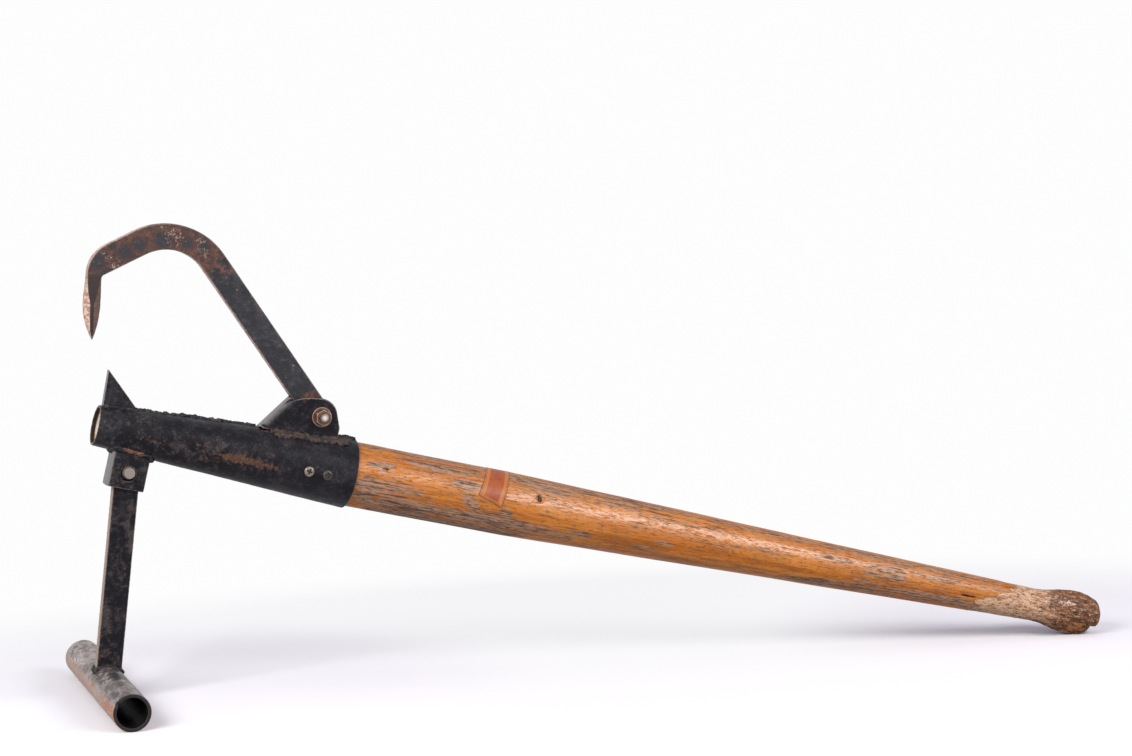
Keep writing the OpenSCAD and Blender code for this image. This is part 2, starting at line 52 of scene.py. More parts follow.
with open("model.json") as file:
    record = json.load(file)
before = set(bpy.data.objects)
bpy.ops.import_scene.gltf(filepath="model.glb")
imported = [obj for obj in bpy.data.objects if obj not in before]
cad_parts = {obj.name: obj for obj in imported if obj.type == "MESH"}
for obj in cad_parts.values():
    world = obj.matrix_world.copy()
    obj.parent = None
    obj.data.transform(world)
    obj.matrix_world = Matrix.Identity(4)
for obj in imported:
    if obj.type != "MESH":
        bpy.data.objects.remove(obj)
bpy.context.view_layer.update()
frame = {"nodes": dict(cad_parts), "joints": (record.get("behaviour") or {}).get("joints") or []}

MM = 0.001
# The axes of the side view
SIDE = [0, 2]
# Passes of smoothing that an edge is told by, and how far it then stands out, in steps of the grid
EDGE_PASSES, EDGE_SHARE = 14, 0.45
# Gap round the tenon and gap under the label
TENON_GAP, LABEL_GAP = 0.1 * MM, 0.06 * MM
SENSOR_WIDTH = 36.0


def joint_place(name):
    """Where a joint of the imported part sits."""
    return next(joint["pos_m"] for joint in frame["joints"] if joint["name"] == name)


def across(node, axis):
    """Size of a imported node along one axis."""
    low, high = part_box(node)
    return high[axis] - low[axis]


# Properties


def length(name, description, default):
    return FloatProperty(name=name, description=description, default=default, unit="LENGTH", precision=4)


def power(name, description, default):
    return FloatProperty(name=name, description=description, default=default, unit="POWER")


def turned(name, description, default):
    return FloatProperty(name=name, description=description, default=default, unit="ROTATION")


def angle(name, description, degrees):
    return turned(name, description, math.radians(degrees))


def share(name, description, default):
    return FloatProperty(name=name, description=description, default=default, min=0.0, max=1.0,
                         subtype="FACTOR")


def colour(name, description, default):
    return FloatVectorProperty(name=name, description=description, default=default, min=0.0, max=1.0,
                               subtype="COLOR", size=3)


def place(name, description, default):
    return FloatVectorProperty(name=name, description=description, default=default,
                               subtype="TRANSLATION", unit="LENGTH", size=3)


class CantHookSizes(bpy.types.PropertyGroup):
    """Sizes of the pieces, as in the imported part."""

    tilt: angle("Tilt", "Slope of the tool as it stands", 12.9414)
    toe: place("Toe", "Middle of the socket's open end", (-0.0076227, 0.0, 0.2746913))
    socket_length: length("Socket length", "Length of the tapered socket", 260 * MM)
    toe_radius: length("Toe radius", "Outside radius of the socket at the toe", 19.9 * MM)
    rear_radius: length("Rear radius", "Outside radius of the socket where the handle enters", 35.25 * MM)
    socket_wall: length("Socket wall", "Thickness of the rolled sheet", 2.5 * MM)
    tenon_length: length("Tenon length", "Length of handle inside the socket", 190 * MM)
    handle_radius: length("Handle radius", "Radius of the handle behind the socket", 32.65 * MM)
    parallel_length: length("Parallel length", "Length of handle before it tapers", 172 * MM)
    taper_length: length("Taper length", "Length of the handle's taper", 632 * MM)
    neck_radius: length("Neck radius", "Radius of the handle's neck", 18 * MM)
    knob_radius: length("Knob radius", "Radius of the knob", 24.3 * MM)
    knob_rise: length("Knob rise", "Length from the neck to the widest part of the knob", 50 * MM)
    crown_radius: length("Crown radius", "Radius of the knob's crown along the handle", 60 * MM)
    crown_length: length("Crown length", "Length of the crown behind the widest part", 22 * MM)
    knob_end: length("Knob end", "Length of the knob's rounded end", 11.5 * MM)
    label_start: length("Label start", "Distance of the label from the toe", 390 * MM)
    label_width: length("Label width", "Width of the label along the handle", 26 * MM)
    label_lean: length("Label lean", "How far the label's top edge is shifted along the handle", 12 * MM)
    label_low: angle("Label low", "Angle of the middle of the label's lower edge", 3)
    label_skew: angle("Label skew", "How far the lower edge falls from end to end", 14)
    label_high: angle("Label high", "Angle of the label's upper edge", 90)
    label_thickness: length("Label thickness", "Thickness of the paper", 0.25 * MM)
    pivot: place("Pivot", "Middle of the hook's bolt", joint_place("hook_swing"))
    pin: place("Pin", "Middle of the stand's pin", joint_place("stand_rock"))
    stem_lean: angle("Stem lean", "Lean of the stem from its bracket", 6.9)
    stem_length: length("Stem length", "Distance from the pin to the middle of the foot", 211 * MM)
    stem_width: length("Stem width", "Width of the stem's flat bar", 25 * MM)
    stem_thickness: length("Stem thickness", "Thickness of the stem's flat bar", 12 * MM)
    foot_radius: length("Foot radius", "Outside radius of the foot tube", across("foot_tube", 2) / 2)
    foot_wall: length("Foot wall", "Wall of the foot tube", 3.6 * MM)
    foot_length: length("Foot length", "Length of the foot tube", across("foot_tube", 1))
    tube_s: length("Bracket tube place", "Distance of the stand's bracket from the toe", 39.5 * MM)
    tube_width: length("Bracket tube width", "Width of the stand's bracket along the tool", 38.1 * MM)
    tube_depth: length("Bracket tube depth", "Width of the stand's bracket across the tool",
                       across("stand_bracket", 1))
    screw_s: length("Rear screw", "Distance of the rear screw from the toe", 230.5 * MM)
    screw_pitch: length("Screw pitch", "Distance between the two screws", 19 * MM)
    screw_drop: length("Screw drop", "Distance of the screws below the middle of the near side", 3 * MM)
    screw_head: length("Screw head", "Diameter of the screw heads", 10.4 * MM)


class CantHookColours(bpy.types.PropertyGroup):
    """Colours of the finishes, as linear values."""

    paint: colour("Paint", "Black paint", (0.0055, 0.0053, 0.0078))
    scuffed_paint: colour("Scuffed paint", "Paint that is rubbed grey", (0.0225, 0.0208, 0.0255))
    stain: colour("Stain", "Brown-grey stains on the paint", (0.088, 0.066, 0.057))
    # Painted sheen as well as wear: this grey also lies on the plates' faces turned to the left
    rubbed: colour("Rubbed", "Smooth grey of rubbed corners", (0.20, 0.185, 0.185))
    # Painted highlight: the bare metal a few millimetres inside the toe is coloured near white where the light
    # falls in, with lit brown round it
    copper: colour("Copper", "Bare, lit metal inside the toe", (0.98, 0.88, 0.76))
    inside_dark: colour("Inside dark", "Dark skin inside the socket", (0.024, 0.017, 0.015))
    inside_brown: colour("Inside brown", "Brown patches inside the socket", (0.05, 0.032, 0.026))
    lit_brown: colour("Lit brown", "Dull metal round the lit part of the toe", (0.4, 0.215, 0.125))
    worn_edge: colour("Worn edge", "Edges rubbed through the paint", (0.225, 0.170, 0.140))
    dark_rust: colour("Dark rust", "Old brown rust", (0.056, 0.030, 0.022))
    rust: colour("Rust", "Fresh orange rust", (0.130, 0.068, 0.046))
    weld_rust: colour("Weld rust", "Orange rust on the beads", (0.17, 0.085, 0.055))
    weld_dark: colour("Weld dark", "Dark hollows of the brown beads", (0.013, 0.009, 0.008))
    weld_brown: colour("Weld brown", "Brown tops of the brown beads", (0.105, 0.064, 0.048))
    hook_paint: colour("Hook paint", "Black paint of the shank", (0.0115, 0.0113, 0.0155))
    hook_scuffed: colour("Hook scuffed", "Rubbed paint of the shank", (0.036, 0.034, 0.042))
    hook_soot: colour("Hook soot", "Dark sides of the point", (0.026, 0.017, 0.015))
    scale: colour("Scale", "Grey-black forging scale", (0.022, 0.021, 0.025))
    forged: colour("Forged", "Brown skin of the forged arm", (0.040, 0.021, 0.0175))
    forged_brown: colour("Forged brown", "Lighter brown of the arm", (0.078, 0.038, 0.029))
    forged_red: colour("Forged red", "Reddish patches of the arm", (0.12, 0.05, 0.034))
    forged_flake: colour("Forged flake", "Pale flakes of the arm", (0.16, 0.105, 0.083))
    chip: colour("Chip", "Pale spots of bare metal", (0.37, 0.268, 0.205))
    # Painted highlight as well as ground metal: this pale metal lies on the hook's faces turned to the toe
    ground_steel: colour("Ground steel", "Pale pinkish ground metal of the point", (0.66, 0.47, 0.38))
    ground_brown: colour("Ground brown", "Brown patches of the ground point", (0.36, 0.185, 0.145))
    ground_rust: colour("Ground rust", "Rust specks of the ground point", (0.18, 0.075, 0.052))
    ground_bright: colour("Ground bright", "Bright specks of the ground point", (0.74, 0.62, 0.5))
    bevel_brown: colour("Bevel brown", "Brown of the point's inner bevel", (0.17, 0.095, 0.075))
    bevel_dark: colour("Bevel dark", "Dark flakes of the inner bevel", (0.085, 0.048, 0.038))
    nut_brown: colour("Nut brown", "Lighter brown of the nut and washer", (0.15, 0.07, 0.04))
    nut_edge: colour("Nut edge", "Rubbed edges of the nut and washer", (0.34, 0.205, 0.14))
    bright_steel: colour("Bright steel", "Bright metal of the bolt and screws", (0.28, 0.240, 0.205))
    dull_steel: colour("Dull steel", "Dull specks of the bolt and screws", (0.3, 0.24, 0.19))
    screw_rust: colour("Screw rust", "Brown of a rusty screw", (0.085, 0.048, 0.034))
    # Painted highlight on the middle of the bolt's end
    shine: colour("Shine", "Bright middle of the bolt's end", (0.6, 0.58, 0.54))
    # The screws' slots are coloured darker than their heads
    recess: colour("Recess", "Dirt in the screws' slots", (0.03, 0.02, 0.014))
    pin_steel: colour("Pin steel", "Dull beige metal of the pin", (0.23, 0.195, 0.173))
    pin_brown: colour("Pin brown", "Browner specks of the pin", (0.24, 0.2, 0.17))
    grey_steel: colour("Grey steel", "Scuffed metal of the foot tube", (0.33, 0.275, 0.262))
    foot_dark: colour("Foot dark", "Dark grey clouds of the foot tube", (0.108, 0.088, 0.082))
    foot_rust: colour("Foot rust", "Beige and orange rust low on the foot tube", (0.37, 0.19, 0.11))
    foot_beige: colour("Foot beige", "Beige specks in the foot's rust", (0.36, 0.25, 0.185))
    foot_orange: colour("Foot orange", "Orange patches of the foot tube", (0.36, 0.125, 0.05))
    foot_soot: colour("Foot soot", "Soot round the foot's weld", (0.03, 0.025, 0.025))
    foot_scuff: colour("Foot scuff", "Bright scratches of the foot tube", (0.66, 0.58, 0.53))
    # Painted shade: the inside of the foot tube is coloured near black
    foot_inside: colour("Foot inside", "Inside of the foot tube", (0.005, 0.004, 0.004))
    rim_black: colour("Rim black", "Black of the foot's rim", (0.006, 0.005, 0.005))
    rim_brown: colour("Rim brown", "Brown specks of the foot's rim", (0.018, 0.013, 0.012))
    amber: colour("Amber", "Varnished wood", (0.47, 0.130, 0.008))
    pale_amber: colour("Pale amber", "Lighter grain of the varnished wood", (0.54, 0.190, 0.028))
    # Painted highlight, laid in a band along the upper near side of the handle
    golden: colour("Golden", "Varnished wood in the brightest light", (0.57, 0.240, 0.078))
    burnt_amber: colour("Burnt amber", "Darker clouds of the varnished wood", (0.34, 0.105, 0.016))
    amber_pore: colour("Amber pore", "Dirt in the pores of the varnished wood", (0.125, 0.048, 0.018))
    amber_dot: colour("Amber dot", "Dark dots of the varnished wood", (0.115, 0.05, 0.022))
    brown_grain: colour("Brown grain", "Dark grain of the wood", (0.21, 0.066, 0.015))
    weathered: colour("Weathered", "Beige wood where the varnish is gone", (0.38, 0.222, 0.142))
    dark_weathered: colour("Dark weathered", "Dark streaks of the weathered wood", (0.100, 0.058, 0.040))
    grey_pore: colour("Grey pore", "Dirt in the pores of the weathered wood", (0.07, 0.045, 0.036))
    dark_streak: colour("Dark streak", "Long dark streaks of the handle", (0.085, 0.054, 0.04))
    pit: colour("Pit", "Inside of the insect holes and the split", (0.045, 0.016, 0.008))
    bare_wood: colour("Bare wood", "Brown fibres of the worn neck", (0.29, 0.140, 0.075))
    pale_fibre: colour("Pale fibre", "Pale fibres of the worn neck", (0.68, 0.43, 0.275))
    fibre_dot: colour("Fibre dot", "Dark dots of the worn neck and knob", (0.055, 0.031, 0.02))
    knob_brown: colour("Knob brown", "Brown of the worn knob", (0.195, 0.080, 0.036))
    knob_tan: colour("Knob tan", "Tan patches of the worn knob", (0.58, 0.34, 0.20))
    knob_dark: colour("Knob dark", "Dark blots of the worn knob", (0.042, 0.022, 0.015))
    # Painted glint on the end of the knob
    knob_pale: colour("Knob pale", "Pale spots on the end of the knob", (0.6, 0.46, 0.38))
    broken_wood: colour("Broken wood", "Fresh wood in the break", (0.60, 0.26, 0.11))
    paper: colour("Paper", "Tan paper of the label", (0.43, 0.140, 0.032))
    print_red: colour("Print", "Faded red field of the label", (0.25, 0.036, 0.011))
    print_line: colour("Print line", "Thin border line of the label", (0.1, 0.035, 0.02))
    paper_edge: colour("Paper edge", "Dirty edges of the label", (0.13, 0.065, 0.035))
    paper_rubbed: colour("Paper rubbed", "Pale rubbed spots of the label", (0.48, 0.23, 0.1))


class CantHookStage(bpy.types.PropertyGroup):
    """Camera, floor and lights."""

    camera: place("Camera", "Place of the camera", (-0.4453, -2.5874, 0.5735))
    yaw: turned("Yaw", "Turn of the camera to the right", 0.3430)
    pitch: turned("Pitch", "Fall of the camera's view", 0.0971)
    roll: turned("Roll", "Roll of the camera", 0.0025)
    lens: FloatProperty(name="Lens", description="Focal length for a sensor 36 mm wide", default=85.007,
                        subtype="DISTANCE_CAMERA")
    floor_radius: length("Floor radius", "Radius of the floor", 9.0)
    fade_radius: FloatProperty(name="Fade radius", default=1.5, min=0.7, subtype="FACTOR",
                               description="Where the floor has faded to plain white, in reaches from its middle")
    floor_white: share("Floor white", "Share of plain white in the floor between the places that are touched", 0.7)
    floor_bounce: share("Floor bounce", "How pale the floor is in the light it throws back", 0.45)
    floor_pale: colour("Floor pale", "Darker clouds of the floor", (0.975, 0.96, 0.985))
    floor_palest: colour("Floor palest", "Paler clouds of the floor", (0.99, 0.975, 1.0))
    white: colour("White", "Plain white of the far floor and of the room behind it", (0.985, 0.985, 0.99))
    sky: FloatProperty(name="Sky", description="Strength of the light from all round", default=0.32, min=0.0,
                       subtype="FACTOR")
    sky_tint: colour("Sky tint", "Colour of the light from all round", (0.88, 0.83, 1.0))
    top_power: power("Top light", "Power of the light overhead", 4.0)
    front_power: power("Front light", "Power of the long light in front on the right", 30.0)
    left_power: power("Left light", "Power of the light on the left", 48.0)


# Noise, the same on every run


def lattice(cells, seed):
    """A random number from 0 to 1 for each whole-numbered cell."""
    mixed = cells @ np.array([374761393, 668265263, 2147483647]) + seed * 974634777
    mixed = ((mixed ^ (mixed >> 13)) * 1274126177) & 0xFFFFFFFF
    return ((mixed ^ (mixed >> 16)) & 0xFFFF) / 0xFFFF


def lumps(points, size, seed=0):
    """Smooth noise from -1 to 1 with lumps of a size, or of three sizes along the axes."""
    scaled = points / np.asarray(size, float)
    cells = np.floor(scaled).astype(np.int64)
    part = scaled - cells
    part = part * part * (3 - 2 * part)
    total = np.zeros(len(points))
    for corner in np.ndindex(2, 2, 2):
        weight = np.prod(np.where(np.array(corner) == 1, part, 1 - part), axis=1)
        total += weight * lattice(cells + np.array(corner), seed)
    return 2 * total - 1


def rough_lumps(points, size, seed=0, layers=3):
    """Lumps with finer lumps on them."""
    return sum(lumps(points, np.asarray(size, float) / 2**k, seed + k) / 2**k for k in range(layers))


def step(value, low, high):
    """0 below low, 1 above high and smooth between."""
    part = np.clip((value - low) / (high - low), 0, 1)
    return part * part * (3 - 2 * part)


# Places on the tool


def tool_points(sizes, s, y, h):
    """Points of the frame at distances along the tool, across it and away from its axis."""
    turn = np.array(Matrix.Rotation(sizes.tilt, 3, "Y"))
    own = np.stack(np.broadcast_arrays(s, y, h), axis=-1)
    return own @ turn.T + np.array(sizes.toe)


def tool_own(sizes, points):
    """Distances along the tool, across it and away from its axis, from points of the frame."""
    turn = np.array(Matrix.Rotation(sizes.tilt, 3, "Y"))
    return (points - np.array(sizes.toe)) @ turn


def round_points(sizes, s, radius, turn):
    """Points round the tool's axis."""
    return tool_points(sizes, s, -radius * np.cos(turn), radius * np.sin(turn))


def round_own(s, radius, turn):
    """Distances along the tool, across it and away from its axis, of points round it."""
    return np.stack([s, -radius * np.cos(turn), radius * np.sin(turn)], axis=1)


def ring_grid(places, depths, around):
    """Place, depth and turn of each point of rings set along an axis."""
    turns = np.linspace(-math.pi, math.pi, around, endpoint=False)
    place_grid, turn = (grid.ravel() for grid in np.meshgrid(places, turns, indexing="ij"))
    return place_grid, np.repeat(depths, around), turn


def grain_size(long, wide):
    """Sizes of lumps that are long along the tool, from millimetres."""
    return long * MM, wide * MM, wide * MM


def turn_from(turn, degrees):
    """How far a turn is from an angle, the short way round."""
    return np.abs(np.angle(np.exp(1j * (turn - math.radians(degrees)))))


def socket_radius(sizes, s):
    return sizes.toe_radius + (sizes.rear_radius - sizes.toe_radius) * s / sizes.socket_length


def on_socket(sizes, s, y, side=1, lift=0.0):
    """Points on the socket's top, or with side -1 on its underside."""
    radius = socket_radius(sizes, np.asarray(s, float)) + lift
    return tool_points(sizes, s, y, side * np.sqrt(radius**2 - np.asarray(y, float) ** 2))


def skin_mark(s, turn, radius, start, stop, half):
    """1 along a line on the round skin, falling off to its sides and thinner at its ends.

    It runs from a distance and angle to another, in millimetres and degrees.
    """
    middle = math.radians((start[1] + stop[1]) / 2)
    near = middle + np.angle(np.exp(1j * (turn - middle)))
    p = np.stack([s, radius * near], axis=1)
    a, b = (np.stack([np.full(len(s), along * MM), radius * math.radians(degrees)], axis=1)
            for along, degrees in (start, stop))
    run = np.sum((p - a) * (b - a), axis=1) / np.sum((b - a) ** 2, axis=1)
    held = np.clip(run, 0, 1)
    gap = np.linalg.norm(p - a - held[:, None] * (b - a), axis=1)
    return np.exp(-(gap / (half * MM * (1 - 0.6 * (2 * held - 1) ** 2))) ** 2)


def skin_marks(s, turn, radius, marks):
    """The strongest of several marks, each with its ends, half width and strength."""
    total = np.zeros(len(s))
    for start, stop, half, strength in marks:
        total = np.maximum(total, strength * skin_mark(s, turn, radius, start, stop, half))
    return total


def stand_points(sizes, x, y, z):
    """Points of the frame from the stand's own directions, with z up the stem from the pin."""
    turn = np.array(Matrix.Rotation(sizes.tilt - sizes.stem_lean, 3, "Y"))
    own = np.stack(np.broadcast_arrays(x, y, z), axis=-1)
    return own @ turn.T + np.array(sizes.pin)


# Meshes


def add_object(name, mesh):
    obj = bpy.data.objects.new(name, mesh)
    bpy.context.scene.collection.objects.link(obj)
    return obj


def mesh_values(items, key, width, kind=np.float32):
    """Numbers of all vertices or edges of a mesh, a row for each."""
    values = np.empty(len(items) * width, kind)
    items.foreach_get(key, values)
    return values.reshape(-1, width)


def mesh_points(mesh):
    return mesh_values(mesh.vertices, "co", 3).astype(float)


def mesh_normals(mesh):
    return mesh_values(mesh.vertices, "normal", 3).astype(float)


def set_points(mesh, points):
    mesh.vertices.foreach_set("co", points.astype(np.float32).ravel())
    mesh.update()


def set_attributes(mesh, **values):
    """Keeps numbers for each vertex, for the finishes to read."""
    for name, numbers in values.items():
        attribute = mesh.attributes.get(name) or mesh.attributes.new(name, "FLOAT", "POINT")
        attribute.data.foreach_set("value", np.asarray(numbers, np.float32))


def rings_mesh(name, rings, closed=False):
    """A skin through rings of points; closed joins the last ring to the first, else the ends get caps."""
    count, round_count = rings.shape[:2]
    points = rings.reshape(-1, 3)
    first = np.arange(count if closed else count - 1)[:, None] * round_count
    turn = np.arange(round_count)
    after = (turn + 1) % round_count
    second = (first + round_count) % len(points)
    quads = np.stack([first + turn, first + after, second + after, second + turn], axis=-1).reshape(-1, 4)
    faces = quads.tolist()
    if not closed:
        start, end = len(points), len(points) + 1
        points = np.vstack([points, rings[0].mean(0), rings[-1].mean(0)])
        last = (count - 1) * round_count
        faces += [[start, b, a] for a, b in zip(turn.tolist(), after.tolist())]
        faces += [[end, last + a, last + b] for a, b in zip(turn.tolist(), after.tolist())]
    mesh = bpy.data.meshes.new(name)
    mesh.from_pydata(points.tolist(), [], faces)
    return face_outwards(mesh)


def rework(mesh, work):
    """Changes a mesh by a piece of work on its loose form."""
    shape = bmesh.new()
    shape.from_mesh(mesh)
    work(shape)
    shape.to_mesh(mesh)
    shape.free()
    mesh.update()
    return mesh


def face_outwards(mesh):
    return rework(mesh, lambda shape: bmesh.ops.recalc_face_normals(shape, faces=shape.faces))


def join_doubles(mesh):
    return rework(mesh, lambda shape: bmesh.ops.remove_doubles(shape, verts=shape.verts, dist=0.001 * MM))


def apply_modifiers(obj):
    """Turns what the modifiers make into a plain mesh."""
    evaluated = obj.evaluated_get(bpy.context.evaluated_depsgraph_get())
    mesh = bpy.data.meshes.new_from_object(evaluated)
    obj.modifiers.clear()
    plain = obj.data
    obj.data = mesh
    bpy.data.meshes.remove(plain)


def neighbour_mean(points, edges):
    count = np.bincount(edges.ravel(), minlength=len(points))
    ways = ((edges[:, 0], edges[:, 1]), (edges[:, 1], edges[:, 0]))
    total = np.stack([sum(np.bincount(here, points[there, k], len(points)) for here, there in ways)
                      for k in range(3)], axis=1)
    return total / np.maximum(count, 1)[:, None]


def relax(points, edges, passes):
    for _ in range(passes):
        points = (points + neighbour_mean(points, edges)) / 2
    return points


def worn_copy(name, node, grid, rounding=4, dent=0.12 * MM, seed=0):
    """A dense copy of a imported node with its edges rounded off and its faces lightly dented.

    Its edge attribute is about 1 on sharp outer edges.
    """
    obj = add_object(name, join_doubles(frame["nodes"][node].data.copy()))
    even = obj.modifiers.new("even_grid", "REMESH")
    even.mode = "VOXEL"
    even.voxel_size = grid
    apply_modifiers(obj)
    mesh = obj.data
    edges = mesh_values(mesh.edges, "vertices", 2, np.int32)
    points = relax(mesh_points(mesh), edges, rounding)
    set_points(mesh, points)
    normals = mesh_normals(mesh)
    stands_out = np.sum((points - relax(points, edges, EDGE_PASSES)) * normals, axis=1)
    set_attributes(mesh, edge=np.clip(stands_out / (EDGE_SHARE * grid), 0, 1))
    depth = dent * (0.6 * lumps(points, 14 * MM, seed) + 0.4 * rough_lumps(points, 4 * MM, seed + 7))
    set_points(mesh, points + depth[:, None] * normals)
    return obj


def dress(obj, material, body, slot, *nodes):
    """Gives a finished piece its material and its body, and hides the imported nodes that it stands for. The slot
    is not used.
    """
    obj.data.materials.clear()
    obj.data.materials.append(material)
    obj.data.shade_smooth()
    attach(obj, body)
    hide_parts(*nodes)


# Node trees


class Nodes:
    """A node tree, with short ways to add to it."""

    def __init__(self, tree):
        self.tree = tree

    def add(self, kind, inputs=None, output=0, **settings):
        """Adds a node, feeds its inputs from sockets or plain values, and gives one of its outputs."""
        node = self.tree.nodes.new(kind)
        for key, value in settings.items():
            setattr(node, key, value)
        for key, value in (inputs or {}).items():
            self.feed(node.inputs[key], value)
        return node.outputs[output] if node.outputs else None

    def feed(self, socket, value):
        if isinstance(value, bpy.types.NodeSocket):
            self.tree.links.new(value, socket)
        elif socket.type == "RGBA":
            socket.default_value = (*value, 1.0)
        else:
            socket.default_value = value

    def calc(self, operation, first, second=0.0):
        return self.add("ShaderNodeMath", {0: first, 1: second}, operation=operation)

    def add_up(self, first, second):
        return self.calc("ADD", first, second)

    def minus(self, first, second):
        return self.calc("SUBTRACT", first, second)

    def times(self, first, second):
        return self.calc("MULTIPLY", first, second)

    def least(self, first, second):
        return self.calc("MINIMUM", first, second)

    def most(self, first, *others):
        for other in others:
            first = self.calc("MAXIMUM", first, other)
        return first

    def mix(self, part, first, second):
        """The first colour where part is 0 and the second where it is 1."""
        return self.add("ShaderNodeMix", {0: part, 6: first, 7: second}, output=2, data_type="RGBA")

    def seen(self):
        """1 for rays from the camera and for those in reflections and glass."""
        path = self.tree.nodes.new("ShaderNodeLightPath").outputs
        return self.most(path["Is Camera Ray"], path["Is Glossy Ray"], path["Is Transmission Ray"])


# Finishes


class Finish(Nodes):
    """One procedural material, built node by node."""

    def __init__(self, name):
        self.material = bpy.data.materials.new(name)
        self.material.use_nodes = True
        super().__init__(self.material.node_tree)
        self.tree.nodes.clear()
        self.place = self.add("ShaderNodeTexCoord", output="Object")

    def noise(self, size, detail=3.0, roughness=0.55, distortion=0.0):
        """Noise from 0 to 1 with lumps of a size in millimetres, or of three sizes along the axes."""
        sizes = size if isinstance(size, tuple) else (size,) * 3
        scaled = self.add("ShaderNodeMapping", {"Vector": self.place, "Scale": tuple(1 / (x * MM) for x in sizes)})
        return self.add("ShaderNodeTexNoise", {"Vector": scaled, "Scale": 1.0, "Detail": detail,
                                               "Roughness": roughness, "Distortion": distortion})

    def step(self, value, low, high, start=0.0, end=1.0):
        """From start at low to end at high, smooth between."""
        return self.add("ShaderNodeMapRange", {"Value": value, "From Min": low, "From Max": high,
                                               "To Min": start, "To Max": end}, interpolation_type="SMOOTHSTEP")

    def shaken(self, value, *shakes):
        """A value moved up and down by pairs of a noise and its reach."""
        for noise, reach in shakes:
            value = self.add_up(value, self.times(self.minus(noise, 0.5), reach))
        return value

    def attribute(self, name):
        return self.add("ShaderNodeAttribute", output="Fac", attribute_name=name)

    def mark(self, name, low, high, *shakes, top=1.0):
        """Where an attribute, shaken by noises, rises from low to high."""
        return self.step(self.shaken(self.attribute(name), *shakes), low, high, 0.0, top)

    def coats(self, base, *coats):
        """A base colour under coats, each a pair of where it lies and its colour."""
        for part, colour in coats:
            base = self.mix(part, base, colour)
        return base

    def bumps(self, *layers):
        """Surface relief from pairs of a height and its depth in millimetres."""
        normal = None
        for height, depth in layers:
            inputs = {"Height": height, "Distance": depth * MM, "Strength": 1.0}
            if normal:
                inputs["Normal"] = normal
            normal = self.add("ShaderNodeBump", inputs)
        return normal

    def surface(self, base, roughness, normal, metallic=0.0, specular=0.5, **others):
        shader = self.add("ShaderNodeBsdfPrincipled", {
            "Base Color": base, "Roughness": roughness, "Normal": normal, "Metallic": metallic,
            "Specular IOR Level": specular, **others})
        self.add("ShaderNodeOutputMaterial", {"Surface": shader})
        return self.material


def worn_black_paint(c):
    """Thin black paint, rubbed and stained, rusty in streaks and bare on its edges and narrow faces, with painted
    sheen on faces turned to the left and a painted highlight on the bare metal inside the toe.
    """
    f = Finish("worn_black_paint")
    cloud, mottle = f.noise(15, 6.0, 0.66), f.noise(5.0, 6.0, 0.74)
    speck, grain = f.noise(2.0, 4.0, 0.7), f.noise(1.2, 3.0, 0.6)
    clean, inside = f.attribute("clean"), f.attribute("inside")
    amount = f.add_up(cloud, f.times(f.minus(f.attribute("stained"), clean), 0.16))
    rust = f.mark("rust", 0.30, 0.74, (mottle, 2.8), (speck, 1.2))
    # Painted highlight on the bare metal inside the toe: lit brown shading into near white
    lit = f.shaken(f.attribute("lit"), (speck, 0.6))
    bright = f.step(lit, 0.5, 0.9)
    base = f.coats(
        c.paint,
        (f.step(f.shaken(cloud, (mottle, 0.5), (grain, 0.6)), 0.40, 0.70), c.scuffed_paint),
        (f.step(f.shaken(amount, (mottle, 1.2), (grain, 0.7)), 0.45, 0.78, 0.0, 0.75),
         f.mix(f.step(speck, 0.40, 0.62), c.stain, c.scuffed_paint)),
        (f.step(speck, 0.66, 0.74, 0.0, 0.35), c.worn_edge),
        # Rubbed grey, which on the plates is painted sheen on the faces turned to the left
        (f.mark("rubbed", 0.05, 1.0, (mottle, 0.5)), c.rubbed),
        # Bare metal on worn edges, and painted sheen on the stem's face turned to the left
        (f.mark("bare", 0.42, 0.8, (mottle, 1.6)), f.mix(f.step(speck, 0.45, 0.65), c.chip, c.worn_edge)),
        (f.mark("edge", 0.62, 1.0, (grain, 1.6), top=0.75), c.worn_edge),
        (rust, f.mix(f.step(speck, 0.40, 0.64), c.dark_rust, c.rust)),
        (inside, f.mix(f.step(mottle, 0.35, 0.65), c.inside_dark, c.inside_brown)),
        (f.step(lit, 0.15, 0.5), c.lit_brown),
        (bright, f.mix(f.step(mottle, 0.50, 0.65, 0.0, 0.5), c.copper, c.lit_brown)))
    smooth = f.minus(f.step(mottle, 0.35, 0.65, 0.40, 0.52), f.times(clean, 0.10))
    rough = f.minus(f.most(smooth, f.times(f.most(rust, inside), 0.85)), f.times(bright, 0.45))
    return f.surface(base, rough, f.bumps((cloud, 0.3), (mottle, 0.35), (speck, 0.2), (grain, 0.1)),
                     metallic=f.times(bright, 0.2), specular=0.12)


def rough_weld(c):
    """Lumpy weld metal under thin black paint."""
    f = Finish("rough_weld")
    speck, broad = f.noise(2.2, 4.0, 0.7), f.noise(10)
    base = f.coats(
        c.paint,
        (f.step(speck, 0.45, 0.68), c.scuffed_paint),
        (f.times(f.step(broad, 0.46, 0.64), f.step(speck, 0.4, 0.62)), c.stain),
        (f.mark("rust", 0.35, 0.75, (speck, 1.6)), f.mix(f.step(speck, 0.4, 0.6), c.dark_rust, c.weld_rust)))
    return f.surface(base, f.step(speck, 0.3, 0.7, 0.40, 0.62), f.bumps((speck, 0.6)), specular=0.2)


def rusty_weld(c):
    """Lumpy weld metal gone brown."""
    f = Finish("rusty_weld")
    speck, broad = f.noise(2.0, 5.0, 0.7), f.noise(8, 4.0)
    base = f.coats(
        c.weld_dark,
        (f.step(speck, 0.36, 0.64), c.weld_brown),
        (f.step(broad, 0.44, 0.60), c.scuffed_paint))
    return f.surface(base, f.step(speck, 0.3, 0.7, 0.5, 0.78), f.bumps((speck, 0.9)), specular=0.3)


